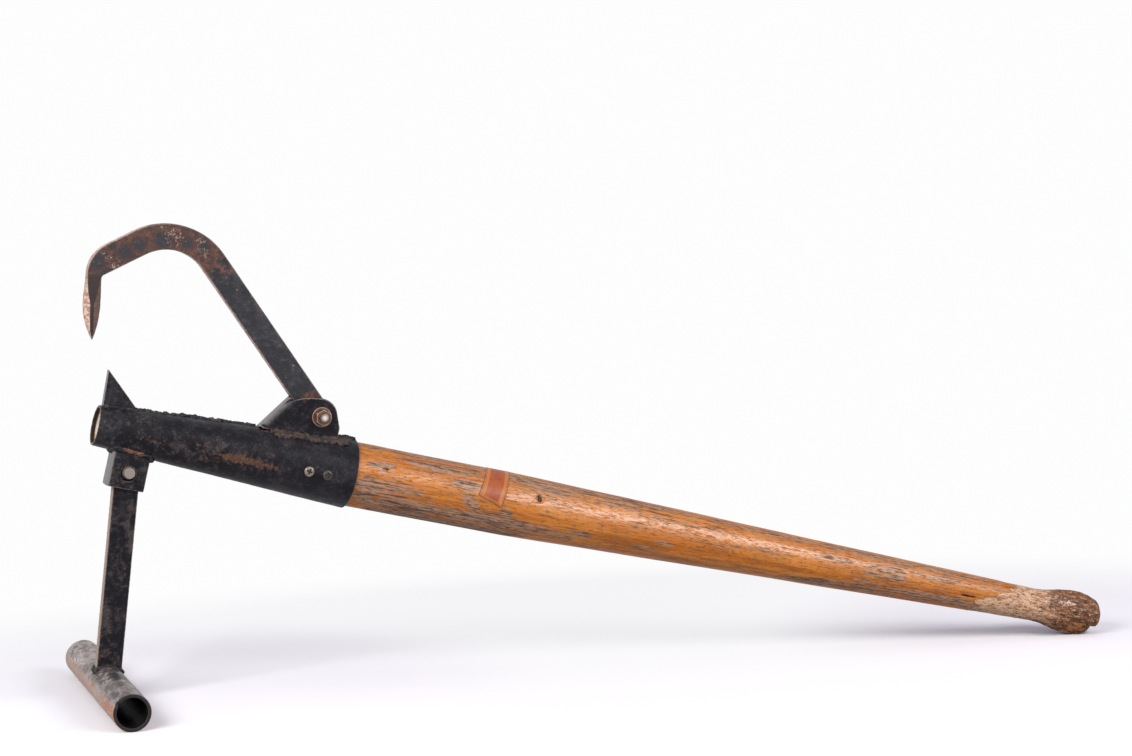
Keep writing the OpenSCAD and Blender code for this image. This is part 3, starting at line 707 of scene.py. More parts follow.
def hook_scale(c):
    """The forged hook: black shank, brown rusty arm with dark scale and pale chips, ground point, and painted
    highlight in pale metal on faces turned to the toe.
    """
    f = Finish("hook_scale")
    cloud, mottle = f.noise(10, 6.0, 0.66), f.noise(5, 5.0, 0.7)
    flake, grain = f.noise(2.6, 4.0, 0.72), f.noise(1.3, 3.0, 0.6)
    skin = f.coats(
        c.forged,
        (f.step(mottle, 0.42, 0.60), c.forged_brown),
        (f.step(f.shaken(cloud, (flake, 0.8)), 0.50, 0.64, 0.0, 0.85), c.forged_red),
        (f.step(flake, 0.60, 0.72, 0.0, 0.6), c.forged_flake),
        (f.mark("scale", 0.38, 0.72, (mottle, 3.0), (flake, 1.6)), c.scale))
    metal = f.coats(
        c.ground_steel,
        (f.step(mottle, 0.44, 0.58), c.ground_brown),
        (f.step(flake, 0.53, 0.61, 0.0, 0.9), c.ground_rust),
        (f.step(grain, 0.60, 0.68, 0.0, 0.8), c.ground_bright))
    chipped = f.shaken(f.times(f.attribute("chip"), 0.7), (mottle, 2.4), (flake, 2.4))
    base = f.coats(
        c.hook_paint,
        (f.step(cloud, 0.44, 0.68), c.hook_scuffed),
        (f.step(flake, 0.66, 0.76, 0.0, 0.4), c.stain),
        (f.mark("rust", 0.32, 0.66, (cloud, 3.0)), skin),
        (f.times(f.step(grain, 0.52, 0.62), f.step(chipped, 0.42, 0.86)), c.chip),
        # Pale metal on the narrow faces and the point's bevel turned to the toe: ground and worn metal with
        # painted highlight
        (f.mark("narrow", 0.4, 0.75, (flake, 0.7)), metal),
        (f.mark("ground", 0.42, 0.62, (flake, 0.5)), metal),
        (f.mark("soot", 0.4, 0.7, (mottle, 1.0)), c.hook_soot),
        (f.mark("bevel", 0.35, 0.7, (flake, 0.6)), f.mix(f.step(flake, 0.42, 0.62), c.bevel_brown, c.bevel_dark)),
        (f.mark("edge", 0.62, 1.0, (grain, 1.0), top=0.6), c.worn_edge))
    return f.surface(base, f.step(mottle, 0.35, 0.65, 0.38, 0.62),
                     f.bumps((cloud, 0.35), (mottle, 0.35), (flake, 0.25), (grain, 0.1)), specular=0.3)


def brown_steel(c):
    """Brown nut and washer, lighter along their edges."""
    f = Finish("brown_steel")
    speck = f.noise(1.5, 4.0, 0.65)
    base = f.coats(
        c.dark_rust,
        (f.step(speck, 0.4, 0.68), c.nut_brown),
        (f.mark("edge", 0.45, 0.85, (speck, 0.8)), c.nut_edge))
    return f.surface(base, f.step(speck, 0.3, 0.7, 0.42, 0.62), f.bumps((speck, 0.15)), metallic=0.25)


def bright_steel(c):
    """Bright metal of the bolt's end and the screw heads, brown where it is rusty and dark where painted, with a
    painted highlight on the bolt's end.
    """
    f = Finish("bright_steel")
    speck = f.noise(1.4, 4.0, 0.65)
    rusty = f.mark("rusty", 0.3, 0.6, (speck, 0.6))
    base = f.coats(
        c.bright_steel,
        (f.step(speck, 0.45, 0.72), c.dull_steel),
        (rusty, f.mix(f.step(speck, 0.4, 0.65), c.dark_rust, c.screw_rust)),
        (f.mark("painted", 0.35, 0.75, (speck, 0.9)), c.scuffed_paint),
        (f.attribute("shine"), c.shine),
        (f.attribute("recess"), c.recess))
    return f.surface(base, f.step(speck, 0.3, 0.7, 0.3, 0.5), f.bumps((speck, 0.12)),
                     metallic=f.minus(0.7, f.times(rusty, 0.6)))


def pin_steel(c):
    """Dull beige pin."""
    f = Finish("pin_steel")
    speck = f.noise(2.0, 4.0, 0.65)
    base = f.mix(f.step(speck, 0.42, 0.72), c.pin_steel, c.pin_brown)
    return f.surface(base, f.step(speck, 0.3, 0.7, 0.38, 0.58), f.bumps((speck, 0.12)), metallic=0.35)


def foot_steel(c):
    """Scuffed grey tube, sooty in smears, beige and orange with rust low on its sides, and painted shade inside.
    """
    f = Finish("foot_steel")
    cloud, smear = f.noise((10, 22, 10), 6.0, 0.68), f.noise((13, 17, 13), 5.0, 0.62, 0.3)
    patch, speck = f.noise(9, 5.0, 0.7, 0.6), f.noise(2.4, 4.0, 0.7)
    scratch = f.noise((3.0, 7, 1.6), 4.0, 0.65, 1.2)
    rim, inside, sooty = f.attribute("rim"), f.attribute("inside"), f.attribute("soot")
    rust = f.mark("rust", 0.36, 0.86, (cloud, 2.4), (patch, 2.0))
    soot = f.times(f.step(f.shaken(sooty, (smear, 4.6), (patch, 1.8)), 0.14, 0.56), f.step(sooty, 0.05, 0.40))
    base = f.coats(
        c.grey_steel,
        (f.step(cloud, 0.40, 0.60), c.foot_dark),
        (rust, f.mix(f.step(speck, 0.38, 0.62), c.foot_rust, c.foot_beige)),
        (f.mark("orange", 0.42, 0.80, (patch, 2.2), (speck, 1.2)), c.foot_orange),
        (soot, c.foot_soot),
        (f.times(f.step(scratch, 0.52, 0.62), f.mark("scuffs", 0.4, 0.8, (patch, 2.6))), c.foot_scuff),
        (rim, f.mix(f.step(speck, 0.4, 0.65), c.rim_black, c.rim_brown)),
        # Painted shade inside the tube
        (inside, c.foot_inside))
    metallic = f.times(f.minus(1.0, f.most(rust, soot, rim, inside)), 0.38)
    return f.surface(base, f.step(speck, 0.3, 0.7, 0.34, 0.56), f.bumps((cloud, 0.3), (speck, 0.2)),
                     metallic=metallic, specular=0.3)


def worn_wood(c, sizes):
    """Amber varnish over long grain, weathered in streaks, bare and fibrous round the knob, with a painted golden
    highlight along a band on the near side.
    """
    f = Finish("worn_wood")
    f.place = f.add("ShaderNodeMapping", {"Vector": f.place, "Location": tuple(sizes.toe),
                                          "Rotation": (0.0, sizes.tilt, 0.0)}, vector_type="TEXTURE")
    broad, fibre, streak, dash, pore, dot, shred, blot, burnt, ragged, patchy, speck = (
        f.noise((long, wide, wide), *settings) for long, wide, *settings in (
            (150, 11, 4.0, 0.55), (50, 1.7, 4.0, 0.62), (45, 4.5, 5.0, 0.68, 0.6), (8, 1.5, 4.0, 0.65),
            (9, 1.5, 3.0, 0.6), (4.5, 2.6, 4.0, 0.7), (13, 2.2, 5.0, 0.7, 0.4), (8, 5, 5.0, 0.68),
            (70, 16, 4.0, 0.6, 0.5), (24, 4, 6.0, 0.74, 1.0), (13, 7, 5.0, 0.7, 0.6), (2.0, 2.0, 4.0, 0.7)))
    polish = f.attribute("polish")
    amber = f.coats(
        c.amber,
        (f.step(broad, 0.40, 0.60), c.pale_amber),
        (f.step(burnt, 0.46, 0.64, 0.0, 0.7), c.burnt_amber),
        (f.step(streak, 0.48, 0.68, 0.0, 0.55), c.brown_grain),
        (f.step(fibre, 0.48, 0.64, 0.0, 0.6), c.brown_grain),
        # Painted highlight: golden wood along the band where the light is reflected
        (f.times(polish, f.step(dash, 0.60, 0.44, 0.2, 0.75)), c.golden),
        (f.step(pore, 0.58, 0.67, 0.0, 0.65), c.amber_pore),
        (f.step(dot, 0.60, 0.66, 0.0, 0.8), c.amber_dot))
    grey = f.coats(
        c.weathered,
        (f.step(f.shaken(fibre, (dash, 0.6)), 0.42, 0.64), c.dark_weathered),
        (f.step(pore, 0.54, 0.66, 0.0, 0.85), c.grey_pore))
    knob = f.coats(
        c.knob_brown,
        (f.step(f.shaken(patchy, (blot, 0.8), (speck, 0.8)), 0.44, 0.60), c.knob_dark),
        (f.times(f.step(shred, 0.50, 0.58), f.step(speck, 0.46, 0.56)), c.knob_tan))
    fibres = f.coats(
        c.pale_fibre,
        (f.step(f.shaken(shred, (speck, 0.5)), 0.42, 0.62), c.bare_wood),
        (f.mark("knob", 0.3, 0.8, (blot, 1.6)), knob),
        (f.step(dot, 0.56, 0.63, 0.0, 0.85), c.fibre_dot),
        (f.mark("broken", 0.55, 0.95, (blot, 1.4)), f.mix(f.step(shred, 0.47, 0.60), c.broken_wood, c.knob_dark)),
        # Painted glints on the end of the knob
        (f.mark("pale", 0.55, 0.95, (blot, 2.0), (speck, 3.0)), c.knob_pale))
    weather = f.mark("weathered", 0.12, 0.80, (ragged, 2.8), (shred, 1.2))
    dark = f.mark("streaks", 0.50, 0.95, (shred, 3.0), (fibre, 4.0), top=0.9)
    bare = f.mark("bare", 0.40, 0.62, (shred, 2.4))
    pit = f.mark("pit", 0.4, 0.65, (speck, 0.5))
    base = f.coats(amber, (weather, grey), (dark, c.dark_streak), (bare, fibres), (pit, c.pit))
    matt = f.most(weather, dark, bare, pit)
    rough = f.add_up(f.step(dash, 0.35, 0.65, 0.30, 0.46), f.times(matt, 0.34))
    varnish = f.times(f.minus(1.0, f.times(matt, 0.5)), f.step(dash, 0.62, 0.44))
    relief = f.bumps((streak, 0.3), (fibre, 0.2), (dash, 0.25), (speck, 0.08), (f.times(shred, bare), 1.0))
    return f.surface(base, rough, relief, specular=0.10, **{
        "Coat Weight": f.times(varnish, f.step(polish, 0.0, 1.0, 0.14, 0.68)), "Coat Roughness": 0.36,
        "Coat IOR": 1.85, "Coat Normal": f.bumps((streak, 0.14), (dash, 0.10), (speck, 0.08))})


def tan_paper(c):
    """Tan paper with a plain border line and a faded red field, rubbed by use."""
    f = Finish("tan_paper")
    flat = f.add("ShaderNodeUVMap", output="UV", uv_map="label")
    from_side, from_end = (
        f.least(part, f.minus(1.0, part))
        for part in (f.add("ShaderNodeSeparateXYZ", {0: flat}, output=axis) for axis in (0, 1)))
    # About millimetres from the paper's edges; for the red field the ends count as farther off
    nearest = f.least(f.times(from_side, 26.0), f.times(from_end, 49.0))
    inner = f.least(f.times(from_side, 26.0), f.times(from_end, 90.0))
    rub, worn = f.noise(4, 5.0, 0.7), f.noise(14, 2.0)
    line = f.times(f.step(nearest, 1.2, 1.5), f.step(nearest, 2.1, 1.8))
    base = f.coats(
        c.paper,
        (f.times(f.step(inner, 4.6, 5.6), f.step(worn, 0.35, 0.65, 0.9, 0.6)), c.print_red),
        (f.times(line, f.step(rub, 0.66, 0.46, 0.0, 0.7)), c.print_line),
        (f.step(f.shaken(nearest, (rub, 2.0)), 0.9, 0.2), c.paper_edge),
        (f.step(rub, 0.6, 0.74, 0.0, 0.3), c.paper_rubbed))
    return f.surface(base, f.step(rub, 0.3, 0.7, 0.34, 0.5), f.bumps((rub, 0.05)), specular=0.3)


def finish(kind, *values):
    """A finish by name, made once."""
    return bpy.data.materials.get(kind.__name__) or kind(*values)


# What follows a path or repeats


class Growth(Nodes):
    """A geometry tree with one geometry input, named inputs and one geometry output."""

    def __init__(self, name, inputs):
        super().__init__(bpy.data.node_groups.new(name, "GeometryNodeTree"))
        for key, kind in {"Geometry": "Geometry", **inputs}.items():
            self.tree.interface.new_socket(key, in_out="INPUT", socket_type="NodeSocket" + kind)
        self.tree.interface.new_socket("Geometry", in_out="OUTPUT", socket_type="NodeSocketGeometry")
        self.given = self.tree.nodes.new("NodeGroupInput").outputs

    def end(self, geometry):
        """Makes what was grown real, gives it its material and hands it out."""
        solid = self.add("GeometryNodeRealizeInstances", {"Geometry": geometry})
        coated = self.add("GeometryNodeSetMaterial", {"Geometry": solid, "Material": self.given["Material"]})
        self.add("NodeGroupOutput", {"Geometry": coated})
        return self.tree


def weld_bead():
    """A lumpy bead along a path of edges, with the ripples of a hand-run weld."""
    floats = ("Bead radius", "Ripple pitch", "Ripple height", "Lump size", "Lump height", "Seed")
    g = Growth("weld_bead", {**dict.fromkeys(floats, "Float"), "Material": "Material"})
    path = g.add("GeometryNodeMeshToCurve", {"Mesh": g.given["Geometry"]})
    even = g.add("GeometryNodeResampleCurve", {"Curve": path, "Length": 0.7 * MM}, mode="LENGTH")
    keep = g.tree.nodes.new("GeometryNodeCaptureAttribute")
    keep.capture_items.new("FLOAT", "Run")
    g.feed(keep.inputs["Geometry"], even)
    g.feed(keep.inputs["Run"], g.add("GeometryNodeSplineParameter", output="Length"))
    section = g.add("GeometryNodeCurvePrimitiveCircle", {"Resolution": 18, "Radius": g.given["Bead radius"]})
    bead = g.add("GeometryNodeCurveToMesh", {
        "Curve": keep.outputs["Geometry"], "Profile Curve": section, "Fill Caps": True})
    turns = g.calc("DIVIDE", g.times(keep.outputs["Run"], math.pi), g.given["Ripple pitch"])
    ripple = g.times(g.calc("ABSOLUTE", g.calc("SINE", turns)), g.given["Ripple height"])
    spot = g.add("ShaderNodeVectorMath", {
        0: g.add("GeometryNodeInputPosition"), 1: g.given["Seed"]}, operation="ADD")
    lump = g.add("ShaderNodeTexNoise", {
        "Vector": spot, "Scale": g.calc("DIVIDE", 1.0, g.given["Lump size"]), "Detail": 3.0, "Roughness": 0.6},
        output="Fac")
    rise = g.times(g.minus(lump, 0.5), g.times(g.given["Lump height"], 4.0))
    outwards = g.add("ShaderNodeVectorMath", {
        0: g.add("GeometryNodeInputNormal", output="Normal"), "Scale": g.add_up(ripple, rise)}, operation="SCALE")
    shaped = g.add("GeometryNodeSetPosition", {"Geometry": bead, "Offset": outwards})
    return g.end(g.add("GeometryNodeSetShadeSmooth", {"Geometry": shaped}))


def screws_on_points():
    """One screw for each point, turned by the point's own turn."""
    g = Growth("screws_on_points", {"Screw": "Object", "Material": "Material"})
    spots = g.add("GeometryNodeMeshToPoints", {"Mesh": g.given["Geometry"]})
    turn = g.add("GeometryNodeInputNamedAttribute", {"Name": "turn"}, data_type="FLOAT_VECTOR")
    screw = g.add("GeometryNodeObjectInfo", {"Object": g.given["Screw"], "As Instance": True}, output="Geometry")
    return g.end(g.add("GeometryNodeInstanceOnPoints", {
        "Points": spots, "Instance": screw, "Rotation": g.add("FunctionNodeEulerToRotation", {"Euler": turn})}))


def grow(obj, kind, values):
    """Runs a tree on an object with values for its named inputs, and keeps the plain mesh."""
    tree = bpy.data.node_groups.get(kind.__name__) or kind()
    modifier = obj.modifiers.new(tree.name, "NODES")
    modifier.node_group = tree
    for item in tree.interface.items_tree:
        if item.in_out == "INPUT" and item.name in values:
            modifier[item.identifier] = values[item.name]
    apply_modifiers(obj)
    face_outwards(obj.data)
    return obj


def paths_object(name, paths):
    """An object of open or closed edge paths; a path that ends where it starts is closed."""
    points, edges = [], []
    for path in paths:
        closed = np.allclose(path[0], path[-1])
        path = path[:-1] if closed else path
        start = len(points)
        points += path.tolist()
        edges += [(start + i, start + i + 1) for i in range(len(path) - 1)]
        if closed:
            edges.append((start + len(path) - 1, start))
    mesh = bpy.data.meshes.new(name)
    mesh.from_pydata(points, edges, [])
    return add_object(name, mesh)


def weld(name, paths, material, radius, lump, lump_size=6, seed=0.0, pitch=2.6, ripple=0.35):
    """A bead along paths, with its radius, lumps and ripples in millimetres."""
    return grow(paths_object(name, paths), weld_bead, {
        "Bead radius": radius * MM, "Ripple pitch": pitch * MM, "Ripple height": ripple * MM,
        "Lump size": lump_size * MM, "Lump height": lump * MM, "Seed": seed, "Material": material})


def wander(path, reach, seed):
    """A path with small sideways wanderings."""
    return path + reach * MM * np.stack([lumps(path, 9 * MM, seed + k) for k in range(3)], axis=1)


# Operators


class PieceOperator:
    """What the operators of all pieces share."""

    bl_options = {"REGISTER", "UNDO"}

    def execute(self, context):
        scene = context.scene
        self.build(scene.cant_hook_sizes, scene.cant_hook_colours)
        return {"FINISHED"}


class CANTHOOK_OT_handle(PieceOperator, bpy.types.Operator):
    """Turned handle with worn grain, two insect holes, a split and a broken, fibrous knob"""

    bl_idname = "canthook.handle"
    bl_label = "Handle"

    around = 112
    # Where the bare wood starts before the neck, and how much later on the upper near side
    bare_start, bare_later = 87 * MM, 46 * MM
    # Depths of the break under the knob and of its lost corner
    break_depth, corner_depth = 4.2 * MM, 7.0 * MM
    # Distance from the toe, angle, half length, half width and depth of each hole in the wood
    pits = ((290, 25, 4.2, 1.5, 2.4), (457, 26, 3.0, 3.4, 3.0), (971, -9, 12.0, 1.2, 2.4))
    # Weathered wood: start and end as distance from the toe and angle, half width and strength
    patches = (((309, 49), (388, 47), 5.9, 0.9), ((262, 74), (642, 64), 8.8, 0.8),
               ((642, 62), (1013, 57), 5.9, 0.75), ((270, 28), (298, 32), 5.9, 0.9),
               ((262, -11), (286, -9), 11.7, 0.95), ((262, -34), (282, -21), 11.7, 0.95),
               ((271, -43), (355, -34), 9.8, 1.0), ((355, -34), (471, -35), 9.8, 1.0),
               ((282, -68), (449, -63), 13.7, 0.9), ((363, 24), (390, 23), 8.8, 0.85),
               ((376, 0), (392, -13), 7.8, 0.9), ((425, 62), (491, 48), 11.7, 0.9),
               ((416, -13), (430, -16), 4.9, 0.9), ((479, 48), (571, 44), 5.0, 0.7),
               ((570, 34), (640, 30), 4.0, 0.5), ((497, -29), (522, -30), 3.9, 0.9),
               ((560, 11), (572, 11), 4.0, 0.5), ((592, -16), (616, -16), 4.0, 0.48),
               ((572, -34), (596, -35), 3.6, 0.55), ((698, 12), (728, 11), 3.8, 0.55),
               ((660, -3), (686, 8), 3.8, 0.45), ((841, 3), (890, 10), 8.0, 0.8),
               ((846, 24), (889, 24), 5.5, 0.7), ((778, 21), (826, 24), 5.0, 0.6),
               ((746, -51), (891, -43), 7.8, 0.7), ((877, -34), (1017, -38), 6.8, 0.85),
               ((255, -28), (500, -40), 13.0, 0.62), ((255, 2), (330, -8), 9.0, 0.55),
               ((300, 52), (560, 44), 7.0, 0.5), ((830, -20), (1000, -30), 8.0, 0.5),
               ((900, 30), (1010, 34), 5.0, 0.5))
    # Dark streaks and the knob's painted glints in the same form
    streaks = (((272, -48), (361, -35), 2.2, 0.8), ((268, -40), (330, -32), 1.6, 0.7),
               ((288, -20), (320, -18), 1.4, 0.8), ((396, -20), (418, -20), 2.2, 0.7),
               ((340, -36), (399, -30), 2.0, 0.7), ((399, -36), (465, -37), 1.8, 0.8),
               ((262, 58), (305, 60), 1.2, 0.8), ((315, 13), (347, 17), 1.2, 0.8),
               ((330, 50), (385, 47), 1.2, 0.7), ((583, 49), (629, 40), 2.0, 0.75),
               ((629, 32), (677, 47), 1.8, 0.7), ((769, -42), (799, -45), 1.6, 0.8),
               ((845, 5), (895, 10), 4.0, 0.75), ((497, -30), (522, -31), 1.4, 0.8),
               ((430, 58), (480, 50), 2.4, 0.6))
    pale_spots = (((1087, 30), (1106, 26), 3.5, 0.9), ((1098, 5), (1101, 0), 3.0, 0.6))

    def build(self, sizes, colours):
        s, radius, turn = ring_grid(*self.profile(sizes), self.around)
        rise, marks = self.wear(sizes, s, radius, turn)
        points = round_points(sizes, s, np.maximum(radius + rise, 0.2 * MM), turn)
        mesh = rings_mesh("handle_wood", points.reshape(-1, self.around, 3))
        caps = np.zeros(len(mesh.vertices) - len(s))
        set_attributes(mesh, **{name: np.append(values, caps) for name, values in marks.items()})
        dress(add_object("handle_wood", mesh), finish(worn_wood, colours, sizes), "tool", "wood", "handle")

    def profile(self, sizes):
        """Distances from the toe and radii from the tenon to the end of the knob."""
        butt_s = sizes.socket_length
        taper_s = butt_s + sizes.parallel_length
        neck_s = taper_s + sizes.taper_length
        knob_s = neck_s + sizes.knob_rise
        tenon = np.linspace(butt_s - sizes.tenon_length, butt_s, 24)[:-1]
        butt = np.linspace(butt_s, taper_s, 90)[:-1]
        taper = np.linspace(neck_s - sizes.taper_length, neck_s, 290)[:-1]
        rise = np.linspace(neck_s, knob_s, 44)[:-1]
        swell = (1 - np.cos(math.pi * (rise - neck_s) / sizes.knob_rise)) / 2
        crown = np.linspace(0, sizes.crown_length, 24)
        crown_radius = np.sqrt(sizes.crown_radius**2 - crown**2) - sizes.crown_radius + sizes.knob_radius
        close = np.linspace(0, math.pi / 2, 22)[:-1]
        pieces = (
            (tenon, socket_radius(sizes, tenon) - sizes.socket_wall - TENON_GAP),
            (butt, np.full(len(butt), sizes.handle_radius)),
            (taper, np.interp(taper, (taper[0], neck_s), (sizes.handle_radius, sizes.neck_radius))),
            (rise, sizes.neck_radius + (sizes.knob_radius - sizes.neck_radius) * swell),
            (knob_s + crown[:-1], crown_radius[:-1]),
            (knob_s + sizes.crown_length + sizes.knob_end * np.sin(close), crown_radius[-1] * np.cos(close)))
        return (np.concatenate(values) for values in zip(*pieces))

    def wear(self, sizes, s, radius, turn):
        """How far the worn skin rises or sinks, and the marks that its finish reads."""
        own = round_own(s, radius, turn)
        neck_s = sizes.socket_length + sizes.parallel_length + sizes.taper_length
        widest = neck_s + sizes.knob_rise
        shown = step(s, sizes.socket_length + 1 * MM, sizes.socket_length + 6 * MM)
        degrees = np.degrees(turn)
        start = neck_s - self.bare_start + self.bare_later * step(degrees, -25, 45) * step(degrees, 150, 80)
        frayed = 11 * MM * rough_lumps(own, grain_size(26, 6), 3)
        worn = step(s + frayed, start, start + 9 * MM)
        knob = step(s + 1.6 * frayed, neck_s - 12 * MM, neck_s + 34 * MM)
        grain = 0.16 * rough_lumps(own, grain_size(40, 2.4), 11) + 0.28 * lumps(own, grain_size(90, 18), 12)
        shreds = 0.30 * rough_lumps(own, grain_size(14, 2.6), 13) + 0.5 * lumps(own, grain_size(18, 12), 14) \
            + 0.35 * knob * rough_lumps(own, 5 * MM, 15)
        label = self.label_zone(sizes, s, turn)
        rise = MM * (shown * (1 - label) * ((1 - worn) * grain + worn * (shreds - 0.35)) - 0.05 * label)
        pit = np.zeros(len(s))
        for at, middle, long, wide, deep in self.pits:
            along = (s - at * MM) / (long * MM)
            sideways = radius * (turn - math.radians(middle)) / (wide * MM)
            ragged = 0.4 * rough_lumps(own, grain_size(4, 1.6), at)
            hole = step(np.hypot(along, sideways) + ragged, 1.25, 0.55)
            rise -= hole * deep * MM
            pit = np.maximum(pit, hole)
        broken = self.broken_zone(widest, s, turn, own)
        lost = self.lost_zone(widest, s, turn, own)
        rise -= np.maximum(broken * self.break_depth, lost * np.minimum(self.corner_depth, 0.45 * radius))
        unseen = 0.85 * step(-np.cos(turn), -0.1, 0.3) * step(lumps(own, grain_size(110, 13), 16), -0.1, 0.5)
        # Painted highlight and polish: a band on the upper near side, strongest along the middle of the handle
        lit_length = step(s, 380 * MM, 480 * MM) * step(s, 980 * MM, 860 * MM)
        return rise, {
            "pit": pit, "bare": np.maximum(worn, broken), "knob": knob, "broken": np.maximum(broken, 0.7 * lost),
            "polish": np.exp(-((turn - math.radians(24)) / 0.42) ** 2) * (0.5 + 0.5 * lit_length),
            # Painted glints on the end of the knob
            "pale": skin_marks(s, turn, radius, self.pale_spots),
            "weathered": np.maximum(skin_marks(s, turn, radius, self.patches), unseen),
            "streaks": np.maximum(skin_marks(s, turn, radius, self.streaks), 0.8 * unseen**2)}

    def label_zone(self, sizes, s, turn):
        """1 under the label, where the wood is left smooth."""
        lean = sizes.label_lean * (turn - sizes.label_low) / (sizes.label_high - sizes.label_low)
        along = s - sizes.label_start - lean
        beyond = along - sizes.label_width
        inside = step(along, -4 * MM, -1 * MM) * step(beyond, 4 * MM, 1 * MM)
        low, high = sizes.label_low - sizes.label_skew / 2, sizes.label_high
        return inside * step(turn, low - 0.12, low - 0.04) * step(turn, high + 0.12, high + 0.04)

    def lost_zone(self, widest, s, turn, own):
        """The corner that is lost from the underside of the knob's end."""
        ragged = rough_lumps(own, grain_size(5, 4), 22)
        along = s - widest + 1.2 * MM * ragged
        return step(along, 16.5 * MM, 18.5 * MM) * step(turn_from(turn, -78) + 0.1 * ragged, 0.85, 0.62)

    def broken_zone(self, widest, s, turn, own):
        """The piece that is broken out under the knob's end."""
        ragged = rough_lumps(own, grain_size(7, 4), 21)
        along = s - widest + 8 * MM + 3 * MM * ragged
        return step(along, -4 * MM, 1 * MM) * step(along, 24 * MM, 21.5 * MM) \
            * step(turn_from(turn, -46) + 0.14 * ragged, 0.60, 0.38)


class CANTHOOK_OT_socket(PieceOperator, bpy.types.Operator):
    """Rolled, tapered steel socket with rust streaks and a thin worn rim"""

    bl_idname = "canthook.socket"
    bl_label = "Socket"

    around = 220
    # Rust: start and end as distance from the toe and angle, half width and strength
    streaks = (((42, -8), (77, -10), 2.6, 0.42), ((95, 3), (107, 4), 2.4, 0.40),
               ((112, -13), (178, -12), 2.4, 0.34), ((122, -9), (166, -10), 5.4, 0.95),
               ((160, -11), (180, -12), 4.2, 0.75), ((104, -13), (122, -12), 3.4, 0.36),
               ((178, -58), (185, -60), 2.4, 0.5), ((14, -26), (20, -28), 2.2, 0.36),
               ((160, 65), (182, 66), 1.2, 1.0), ((95, -30), (118, -24), 3.4, 0.30),
               ((60, 170), (118, 176), 3.0, 0.7), ((140, 196), (205, 190), 3.4, 0.75),
               ((90, 232), (130, 228), 3.0, 0.5), ((214, 150), (246, 146), 3.0, 0.5),
               ((30, 120), (64, 124), 2.4, 0.45))

    def build(self, sizes, colours):
        wall, end = sizes.socket_wall, sizes.socket_length
        outer = np.linspace(0.8 * MM, end - 1.2 * MM, 176)
        inner = np.concatenate([np.linspace(end - 0.6 * MM, 12 * MM, 46), np.linspace(11 * MM, 0.6 * MM, 20)])
        # Distance from the rim with depth below the skin at the back, and height off the inside in front
        back, back_depth = np.array([(0.5, 0.08), (0.12, 0.3), (0, 0.75), (0, 1.9)]).T * MM
        front, front_height = np.array([(0, 0.4), (0, 1.5), (0.1, 2.0), (0.4, 2.35)]).T * MM
        s, depth, turn = ring_grid(
            np.concatenate([outer, end - back, inner, front]),
            np.concatenate([np.zeros(len(outer)), back_depth, np.full(len(inner), wall), wall - front_height]),
            self.around)
        radius = socket_radius(sizes, s) - depth
        own = round_own(s, radius, turn)
        skin = depth < 0.5 * wall
        dents = 0.22 * lumps(own, 30 * MM, 31) + 0.10 * rough_lumps(own, 7 * MM, 32) - 0.05
        radius = radius + np.where(skin, dents * MM, 0)
        points = round_points(sizes, s, radius, turn)
        mesh = rings_mesh("socket_sheet", points.reshape(-1, self.around, 3), closed=True)
        inside = np.where(depth > wall - 0.2 * MM, 1.0, 0.0)
        rear = step(s, 150 * MM, 195 * MM) * step(np.abs(turn), 1.3, 0.9)
        upper = 0.9 * step(s, 40 * MM, 70 * MM) * step(turn, 0.25, 0.6) * step(turn, 1.5, 1.1)
        toe = step(s, 34 * MM, 16 * MM) * step(np.abs(turn), 1.9, 1.4)
        belt = step(s, 25 * MM, 50 * MM) * step(s, 170 * MM, 120 * MM) * np.exp(-((turn + 0.12) / 0.30) ** 2)
        below = 0.8 * step(s, 120 * MM, 30 * MM) * np.exp(-((turn + 0.7) / 0.4) ** 2)
        set_attributes(
            mesh, inside=inside, bare=0.55 * step(s, 1.4 * MM, 0.2 * MM), stained=0.66 * np.maximum(belt, below),
            rust=np.where(skin, skin_marks(s, turn, radius, self.streaks), 0),
            clean=np.maximum(np.maximum(rear, upper), 1.1 * toe), rubbed=np.where(skin, 0.16 * toe, 0),
            # Painted highlight: the bare metal from a few millimetres into the toe is coloured as lit
            lit=inside * step(s, 3.0 * MM, 5.4 * MM) * step(s, 60 * MM, 20 * MM))
        dress(add_object("socket_sheet", mesh), finish(worn_black_paint, colours), "tool", "black_paint", "socket")


